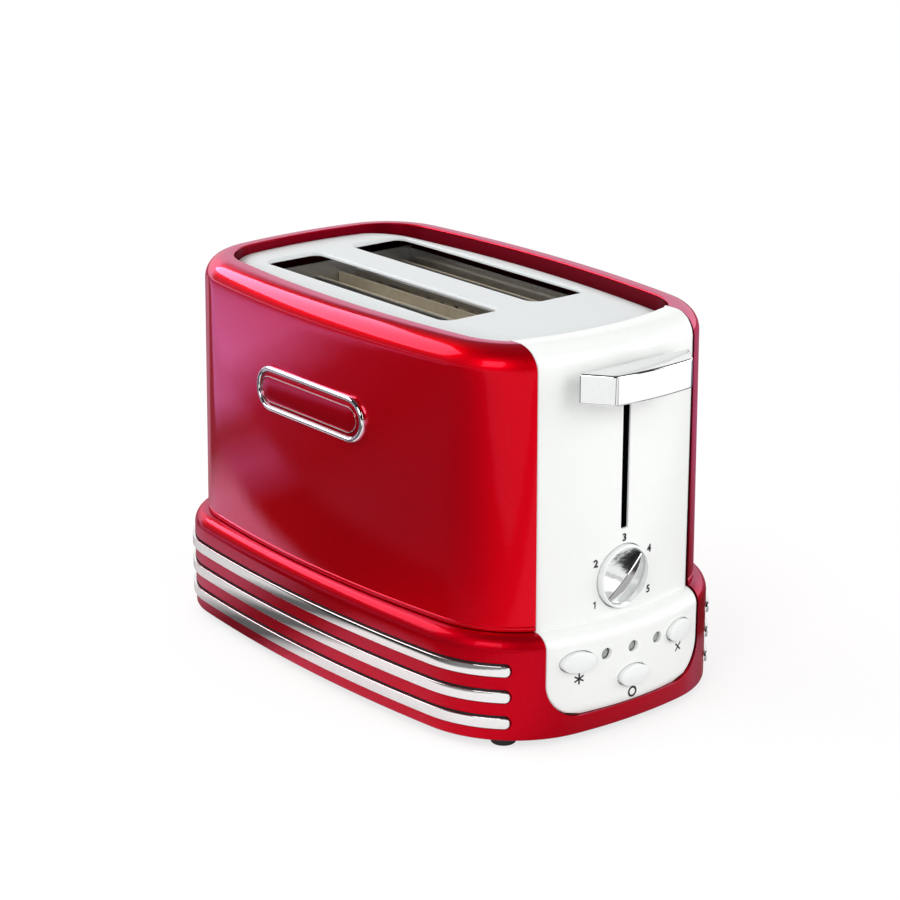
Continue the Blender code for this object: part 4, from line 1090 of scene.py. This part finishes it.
ring_profile = [(0, shaft_end), (shaft_radius, shaft_end), (shaft_radius, -knob_depth),
                (knob_radius, -knob_depth)]
ring_profile += arc(knob_radius - ring_round, knob_proud - ring_round, ring_round, 0, pi / 2, 8)
ring_profile += arc(ring_inner + ring_break, knob_proud - ring_break, ring_break, pi / 2, pi, 5)
ring_profile += [(ring_inner, -seat_depth), (0, -seat_depth)]
ring = turned(ring_profile, 96)
piece("knob_ring", ring, button_white, "knob", "white_plastic", "browning_knob", at=knob_place)

# %% Faceted insert
insert_radius = 14.5 * mm
pointer = radians(42)
facet_drop = 4.3 * mm
facet_crown = 0.9 * mm
insert_top = knob_proud
insert_back = -2.1 * mm
ridge_half = 0.45 * mm
ridge_rise = 0.15 * mm
ridge_reach = 0.985


def facet(side):
    """Half a disc beside the ridge, falling away from it."""
    rows, ranks = 32, 14
    front, back = [], []
    for i in range(rows + 1):
        along = insert_radius * cos(pi * i / rows)
        reach = sqrt(max(insert_radius ** 2 - along ** 2, 0))
        places = [side * reach * k / ranks for k in range(ranks + 1)]
        crown = facet_crown * (along / insert_radius) ** 2
        top = [insert_top - facet_drop * abs(v) / insert_radius - crown * (1 - abs(v) / insert_radius)
               for v in places]
        front.append([(along, v, h) for v, h in zip(places, top)])
        back.append([(along, v, insert_back) for v in places])
    bm = sheet(front, back)
    bmesh.ops.remove_doubles(bm, verts=bm.verts, dist=weld)
    return bm


def ridge():
    """The narrow bar between the facets, bent over their crown."""
    steps = 24
    sections = []
    for k in range(steps + 1):
        share = ridge_reach * (2 * k / steps - 1)
        top = insert_top + ridge_rise - facet_crown * share ** 2
        right = [(ridge_half, insert_back), (ridge_half, top - ridge_rise), (ridge_half / 2, top)]
        corners = [(-ridge_half, insert_back)] + right + [(-v, h) for v, h in right[:0:-1]]
        sections.append([(share * insert_radius, v, h) for v, h in corners])
    return loft(sections)


insert = together([facet(1), facet(-1), ridge()])
piece("knob_insert", insert, chrome, "knob", "chrome", "knob_face", sharp=25,
      at=knob_place @ Matrix.Rotation(pointer, 4, "Z"))

# %% [markdown]
# ## Print on the panel
#
# The dial's numbers are printed in black. A text curve gives each figure's outline. It is turned
# into a mesh and its points are laid on the bowed face, so the ink follows the plastic. Under the
# buttons stand three plain signs of the same ink: a frost star, a ring and a cross.

# %% Dial numbers
ink = dull("ink", (0.012, 0.012, 0.014), 0.4, 1200.0)
dial_radius = 20.8 * mm
dial_centre = 76.2 * mm
dial = {"1": 211, "2": 149, "3": 90, "4": 31, "5": -31}
figure_size = 5.4 * mm
figure_swell = 0.16 * mm
ink_half = 0.03 * mm
ink_proud = 0.02 * mm
one = in_millimetres((-0.3, -1.85), (0.3, -1.85), (0.3, 1.85), (-0.15, 1.85), (-1.0, 1.25), (-1.0, 0.65),
                     (-0.3, 1.0))


def figure(character):
    """A number as a flat mesh about its own middle. The font's one is a mere bar, so it is drawn."""
    if character == "1":
        return loft([[(a, b, z) for a, b in one] for z in (-ink_half, ink_half)])
    curve = bpy.data.curves.new("figure", "FONT")
    curve.body = character
    curve.size = figure_size
    curve.align_x = "CENTER"
    curve.align_y = "CENTER"
    curve.extrude = ink_half
    curve.offset = figure_swell
    holder = bpy.data.objects.new("figure", curve)
    bpy.context.scene.collection.objects.link(holder)
    bm = bmesh.new()
    bm.from_mesh(holder.evaluated_get(bpy.context.evaluated_depsgraph_get()).to_mesh())
    bpy.data.objects.remove(holder)
    bmesh.ops.remove_doubles(bm, verts=bm.verts, dist=2 * weld)
    return bm


def laid_on_panel(bm, x, z, step):
    """Moves flat print to its place and bends it over the panel's bow."""
    for vert in bm.verts:
        u, v, w = vert.co
        vert.co = (x + u, panel_y(x + u, -step - ink_proud - ink_half - w), z + v)
    return bm


figures = []
for character, degrees in dial.items():
    turn = radians(degrees)
    figures.append(laid_on_panel(figure(character), dial_radius * cos(turn),
                                 dial_centre + dial_radius * sin(turn), 0))
piece("dial_numbers", together(figures), ink, "casing", "black_plastic")

# %% Signs under the buttons
sign_half = 2.9 * mm
stroke_half = 0.42 * mm
ring_inside = sign_half - 2.6 * stroke_half
stroke_steps = 4


def strokes(*degrees):
    """Straight bars through the middle of a sign, in short lengths so that they can bend."""
    bars = []
    for turn in map(radians, degrees):
        sections = []
        for k in range(2 * stroke_steps + 1):
            along = sign_half * (k / stroke_steps - 1)
            place = Vector((along * cos(turn), along * sin(turn)))
            side = Vector((-sin(turn), cos(turn))) * stroke_half
            corners = ((place - side, -1), (place + side, -1), (place + side, 1), (place - side, 1))
            sections.append([(*corner, up * ink_half) for corner, up in corners])
        bars.append(loft(sections))
    return together(bars)


ring_section = [(ring_inside, -ink_half), (sign_half, -ink_half), (sign_half, ink_half),
                (ring_inside, ink_half)]
for sign, shape, x, z in (("star", strokes(30, 90, 150), -33 * mm, 32.6 * mm),
                          ("ring", turned(ring_section, 48), 0, 18.2 * mm),
                          ("cross", strokes(45, 135), 34 * mm, 32.4 * mm)):
    piece("sign_" + sign, laid_on_panel(shape, x, z, panel_step), ink, "casing", "black_plastic")

# %% [markdown]
# ## Buttons and indicator lenses
#
# Each button is an oval cap with a broken edge and a crowned top, on a plunger that reaches the
# switch behind it. The lenses sit a little below the surface, so that one side of their hole is in
# shade and the other catches the light.

# %% Buttons
button_proud = 2.3 * mm
button_crown = 0.5 * mm
button_break = 0.4 * mm
flange = 1.2 * mm
flange_clear = 0.5 * mm
flange_front = panel_wall + flange_clear
flange_back = flange_front + flange
plunger = 3 * mm
plunger_overlap = 1 * mm
crown_rings = 8
switch_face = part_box("button_middle")[1].y - middle


def button_cap(x, z):
    def ring(shrink, behind):
        outline = oval(button_half - shrink, button_tall - shrink, x, z)
        return [(a, panel_y(a, behind - panel_step), b) for a, b in outline]

    rings = [ring(-flange, flange_back), ring(-flange, flange_front), ring(0, flange_front)]
    rings += [ring(shrink, behind) for shrink, behind in
              arc(button_break, button_break - button_proud, button_break, pi, 3 * pi / 2, 5)]
    for k in range(1, crown_rings):
        share = k / crown_rings
        shrink = button_break + (button_tall - button_break) * share
        rings.append(ring(shrink, -button_proud - button_crown * (1 - (1 - share) ** 2)))
    return loft(rings)


for side, (x, z) in buttons.items():
    name = "button_" + side
    stem = block((x - plunger, panel_y(x, flange_back - panel_step) - plunger_overlap, z - plunger),
                 (x + plunger, switch_face, z + plunger))
    piece("cap_" + side, together([button_cap(x, z), stem]), button_white, name, "white_plastic", name)

# %% Indicator lenses
lens_grey = dull("lens_grey", (0.42, 0.44, 0.42), 0.12, 400.0, spread=0.04)
lens_sunk = 1.6 * mm
lens_crown = 0.9 * mm
lens_back = 6 * mm
crown_turns = [radians(turn) for turn in (0, 20, 40, 60, 75, 90)]
lens_profile = [(0, -lens_back), (lens_radius, -lens_back)]
lens_profile += [(lens_radius * cos(turn), -lens_sunk - lens_crown * (1 - sin(turn))) for turn in crown_turns]
for side, x in lenses.items():
    place = Matrix.Translation((x, panel_y(x, -panel_step), lens_z)) @ Matrix.Rotation(radians(90), 4, "X")
    lens = turned(lens_profile, 40)
    piece("lens_" + side, lens, lens_grey, "casing", "lens", "indicator_lens_" + side, at=place)

# %% [markdown]
# ## The badge
#
# On the side sits a raised badge: a chromed moulding round an enamelled plate with a fine bead on
# it. The plate is left bare here. All three follow the casing's wall, so every point is worked out
# as a distance from that wall.

# %% Badge
badge_y = 1 * mm
badge_z = 147 * mm
badge_half = 45 * mm
badge_tall = 12 * mm
badge_rim = 3 * mm
plate_gap = 0.1 * mm
plate_break = 0.3 * mm
plate_core = 0.8 * mm
plate_back = 0.2 * mm
plate_edge = 1.2 * mm
plate_proud = 1.4 * mm
plate_crown = 0.6 * mm
plate_steps = 8


def wall_x(y, z):
    bow = casing.side_radius - sqrt(casing.side_radius ** 2 - y ** 2)
    return (casing.half - bow) * drawn_in(z)


def badge_ring(inset, proud):
    """A round-ended outline, so far inside the badge's edge and so far off the wall."""
    radius = badge_tall - inset
    straight = badge_half - badge_tall
    right = arc(straight, 0, radius, -pi / 2, pi / 2, 24)
    ring = []
    for a, b in right + [(-a, -b) for a, b in right]:
        y, z = badge_y + a, badge_z + b
        ring.append((-wall_x(y, z) - proud, y, z))
    return ring


def badge_band(*pairs):
    """A band that runs round the badge, from its section's (inset, proud) pairs in millimetres."""
    return loft([badge_ring(inset, proud) for inset, proud in in_millimetres(*pairs)], closed=True)


moulding = badge_band((0, 0.05), (0, 1.2), (0.25, 1.9), (0.8, 2.45), (1.4, 2.65), (2.0, 2.5), (2.4, 2.1),
                      (2.6, 1.5), (3.0, 1.4), (3.0, 0.05))
piece("badge_moulding", moulding, chrome, "casing", "chrome", "badge_frame")

plate_inset = badge_rim + plate_gap
plate_rings = [badge_ring(plate_inset, proud) for proud in (plate_back, plate_edge)]
for k in range(1, plate_steps + 1):
    share = k / plate_steps
    inset = plate_inset + plate_break + (badge_tall - badge_rim - plate_core) * share
    plate_rings.append(badge_ring(inset, plate_proud + plate_crown * (1 - (1 - share) ** 2)))
piece("badge_enamel", loft(plate_rings), red_moulding, "casing", "red_enamel", "badge_plate")

bead = badge_band((5.1, 1.2), (5.1, 1.95), (5.35, 2.05), (5.6, 1.95), (5.6, 1.2))
piece("badge_bead", bead, chrome, "casing", "chrome")

# %% [markdown]
# ## Feet
#
# Four rubber feet, turned like a shallow cup: wider where they are pressed into the base, with a
# round edge where they stand.

# %% Feet
foot_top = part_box("foot_front_left")[1].z
foot_radius = 7.4 * mm
foot_sole = 6.3 * mm
foot_round = 1.0 * mm
foot_hollow = 0.5 * mm
foot_profile = [(0, foot_top), (foot_radius, foot_top), (foot_radius - 0.3 * mm, foot_top - 0.7 * mm)]
foot_profile += arc(foot_sole - foot_round, foot_round, foot_round, 0, -pi / 2, 6)
foot_profile += [(foot_sole - 2.2 * mm, 0), (foot_sole - 2.6 * mm, foot_hollow), (0, foot_hollow)]


def nodes_named(*starts):
    """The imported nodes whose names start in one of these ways."""
    return [name for name in nodes if name.startswith(starts)]


for name in nodes_named("foot_"):
    low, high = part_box(name)
    place = Matrix.Translation(((low.x + high.x) / 2, (low.y + high.y) / 2 - middle, 0))
    foot = turned(foot_profile, 48)
    piece(name.replace("foot", "rubber_foot"), foot, rubber, "casing", "rubber", name, at=place)

# %% [markdown]
# ## Heating wires
#
# Each mica card is wound with flat resistance wire that runs from end to end, a few millimetres
# apart. Through the slots it shows as fine grey lines on the cream card.

# %% Heating wires
wire_pitch = 5.5 * mm
wire_half = 0.7 * mm
wire_thick = 0.12 * mm
for name in nodes_named("heater_card"):
    low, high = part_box(name)
    low, high = low - Vector((0, middle, 0)), high - Vector((0, middle, 0))
    turns = int((high.z - low.z) / wire_pitch) - 1
    bands = []
    for k in range(turns):
        z = low.z + wire_pitch * (k + 1)
        bands.append(block((low.x - wire_thick, low.y - wire_thick, z - wire_half),
                           (high.x + wire_thick, high.y + wire_thick, z + wire_half)))
    piece(name.replace("heater_card", "heating_wire"), together(bands), spring_steel, "casing", "sheet_steel")

# %% [markdown]
# ## Finishes on the pieces that keep their packed form
#
# Everything else is right as it is. A node's object has its material slots changed and nothing
# else, so it still moves with its body.

# %% Finishes by node
def dress(look, *names):
    for name in names:
        node = nodes[name]
        node.data.materials.clear()
        node.data.materials.append(look.material)


dress(rolled_steel, *nodes_named("bread_", "front_bulk", "rear_bulk", "bottom_plate", "screw"))
dress(rolled_steel, "carriage", "crumb_tray", "armature_plate", "guide_rod_left", "guide_rod_right")
dress(bright_sheet, "heat_shield_left", "heat_shield_right")
dress(spring_steel, "return_spring")
dress(copper, "electromagnet")
dress(black_plastic, "cord_inlet", "switch_left", "switch_middle", "switch_right")
dress(mica, *nodes_named("heater_card"))
dress(board_green, "control_board")
dress(moulded_grey, "knob_potentiometer")
dress(ceramic, "terminal_block")

# %% [markdown]
# ## The camera
#
# The camera stands where the photographer stood: 39 degrees to the left of the panel and 18 degrees
# above, nearly one and a half metres away, through a long lens.

# %% Camera
azimuth = radians(-39.403)
elevation = radians(18.021)
roll = radians(0.291)
distance = 1387.164 * mm
aim = Vector((0, middle, 100 * mm))
frame_size = 900
focal_pixels = 2621.186
sensor = 36
centre_x, centre_y = 447.954, 440.328
stepped_right, stepped_up = 4.095 * mm, 10.053 * mm

back = Vector((sin(azimuth) * cos(elevation), -cos(azimuth) * cos(elevation), sin(elevation)))
right = (-back).cross(Vector((0, 0, 1))).normalized()
up = right.cross(-back)
across = right * cos(roll) + up * sin(roll)
upward = up * cos(roll) - right * sin(roll)
camera_data = bpy.data.cameras.new("camera")
camera = bpy.data.objects.new("camera", camera_data)
bpy.context.scene.collection.objects.link(camera)
matrix = Matrix((across, upward, back)).transposed().to_4x4()
matrix.translation = aim + back * distance + right * stepped_right + up * stepped_up
camera.matrix_world = matrix
camera_data.sensor_width = sensor
camera_data.lens = focal_pixels / frame_size * sensor
camera_data.shift_x = (frame_size / 2 - centre_x) / frame_size
camera_data.shift_y = -(frame_size / 2 - centre_y) / frame_size
bpy.context.scene.camera = camera
bpy.context.scene.view_settings.view_transform = "Standard"
print("lens", round(camera_data.lens, 1))

# %% [markdown]
# ## Floor, backdrop and light
#
# The toaster stands on white, in a white room. To the camera the world and the floor are plain
# white but for the toaster's shadow. What the paint and the chrome mirror matters as much: a white
# floor mirrored in red lacquer turns it pink. So the floor that they see is painted for them alone:
# painted shade makes it dim near the toaster, as under a table top lit from above, and it is pale
# further off, in bands, some tinted violet. Four soft lamps make the long highlights along the rim,
# the shoulder and the sides.

# %% World
white_level = 1.0
room_level = 0.62
ceiling_level = 0.12
ceiling_from = 0.38
ceiling_to = 0.55
dim_left_level = 0.2
dim_left_from = -0.3
dim_left_to = -0.1
dark_side_level = 0.015
dark_side_from = -0.35
dark_side_to = -0.15
dark_above = 0.008
dark_full = 0.016


def grey(level):
    return (level, level, level)


def make_world():
    """White to the camera. Chrome mirrors a white room, dim above and on the left, and dark in front."""
    world = bpy.data.worlds.new("room")
    bpy.context.scene.world = world
    world.use_nodes = True
    room = Tree(world.node_tree)
    direction = room.node("TexCoord", output="Generated")
    rightward, away, upward = (room.part(direction, axis) for axis in "XYZ")
    mirrored = room.rays("Glossy") + room.rays("Transmission")
    overhead = room.clamp(upward, ceiling_from, ceiling_to, white_level, ceiling_level)
    side = room.clamp(away, dark_side_from, dark_side_to, white_level - dark_side_level, 0.0)
    left = room.clamp(rightward, dim_left_from, dim_left_to, white_level - dim_left_level, 0.0)
    dark = room.node("Math", {"operation": "MAXIMUM"}, side, left) * room.clamp(upward, dark_above, dark_full)
    soft = room.blend(mirrored, grey(room_level), room.grey(overhead * (white_level - dark)))
    background = room.tree.nodes["Background"]
    room.join(room.blend(room.rays("Camera"), soft, grey(white_level)), background.inputs["Color"])


make_world()

# %% Floor
floor_reach = 4.0
floor_thick = 0.02
floor_drop = 0.0001
floor_level = 0.6
white_from = 0.35
white_to = 0.9
lit_share = 0.3
stretch = 1.0


def floor_stops(*places):
    """Places along the floor, from front to back, how pale it looks there when mirrored, and how violet."""
    return [((y + stretch) / (2 * stretch), (level, level * (1 - tint), level * (1 + tint)))
            for y, level, tint in places]


# The floor's mirrored colour: painted shade near the toaster, and pale and violet bands further off, seen
# only in reflections.
left_floor = floor_stops((-0.34, 0.8, 0), (-0.3, 0.12, 0), (0.2, 0.1, 0), (0.3, 0.04, 0), (0.45, 0.08, 0.2),
                         (0.6, 0.7, 0.2), (0.9, 0.3, 0.2))
foot_floor = floor_stops((-0.1, 0.2, 0), (0.0, 0.02, 0), (0.26, 0.02, 0), (0.34, 0.3, 0.2), (0.42, 0.08, 0),
                         (0.5, 0.5, 0.2))
near_floor = floor_stops((0.03, 0.85, 0), (0.07, 0.12, 0), (0.1, 0.12, 0), (0.15, 0.7, 0), (0.3, 0.6, 0),
                         (0.4, 0.08, 0))
front_floor = floor_stops((-0.3, 0.55, 0), (0.0, 0.45, 0))
right_floor = floor_stops((-0.3, 0.95, 0), (-0.25, 0.04, 0), (-0.08, 0.08, 0), (0.02, 0.3, 0.2))
zones = ((-0.28, -0.25, foot_floor), (-0.19, -0.17, near_floor), (-0.08, -0.04, front_floor),
         (0.122, 0.134, right_floor))


def make_floor():
    """White to the camera, with the lamps' light in it near the toaster, so that a shadow shows."""
    low, high = (-floor_reach, -floor_reach, -floor_thick), (floor_reach, floor_reach, -floor_drop)
    floor = to_object(block(low, high), "floor")
    look = Look("floor_white", (0.9, 0.9, 0.9), Roughness=0.9, Specular_IOR_Level=0.0, Emission_Strength=1.0)
    away = look.node("VectorMath", {"operation": "LENGTH"}, look.place(), output="Value")
    to_camera = look.rays("Camera")
    lit = look.clamp(away, white_from, white_to, lit_share, 0.0)
    aside, deep = (look.part(look.place(), axis) for axis in "XY")
    share = look.clamp(deep, -stretch, stretch)
    mirrored = look.node("ValToRGB", {"stops": left_floor}, share)
    for start, end, stops in zones:
        colour = look.node("ValToRGB", {"stops": stops}, share)
        mirrored = look.blend(look.clamp(aside, start, end), mirrored, colour)
    pale = look.blend(look.rays("Glossy"), grey(floor_level), mirrored)
    look.set(Base_Color=look.blend(to_camera, pale, look.grey(lit)),
             Emission_Color=look.grey(to_camera * (1 - lit)))
    floor.data.materials.append(look.material)


make_floor()

# %% Lamps
lamp_target = Vector((0, 0, 0.1))


def lamp(name, place, size, radiance):
    """A soft lamp given by how bright its face looks."""
    data = bpy.data.lights.new(name, "AREA")
    data.shape = "RECTANGLE"
    data.size, data.size_y = size
    data.energy = radiance * pi * size[0] * size[1]
    made = bpy.data.objects.new(name, data)
    bpy.context.scene.collection.objects.link(made)
    made.location = place
    direction = lamp_target - Vector(place)
    made.rotation_euler = direction.to_track_quat("-Z", "Y").to_euler()


lamp("back_softbox", (-0.6, 1.0, 0.98), (1.4, 0.8), 3.4)
lamp("front_softbox", (0.5, -1.8, 0.9), (1.2, 1.2), 2.55)
lamp("left_softbox", (-1.55, -0.8, 1.0), (0.8, 0.8), 5.0)
lamp("right_softbox", (1.6, -1.1, 0.7), (0.8, 0.8), 5.0)
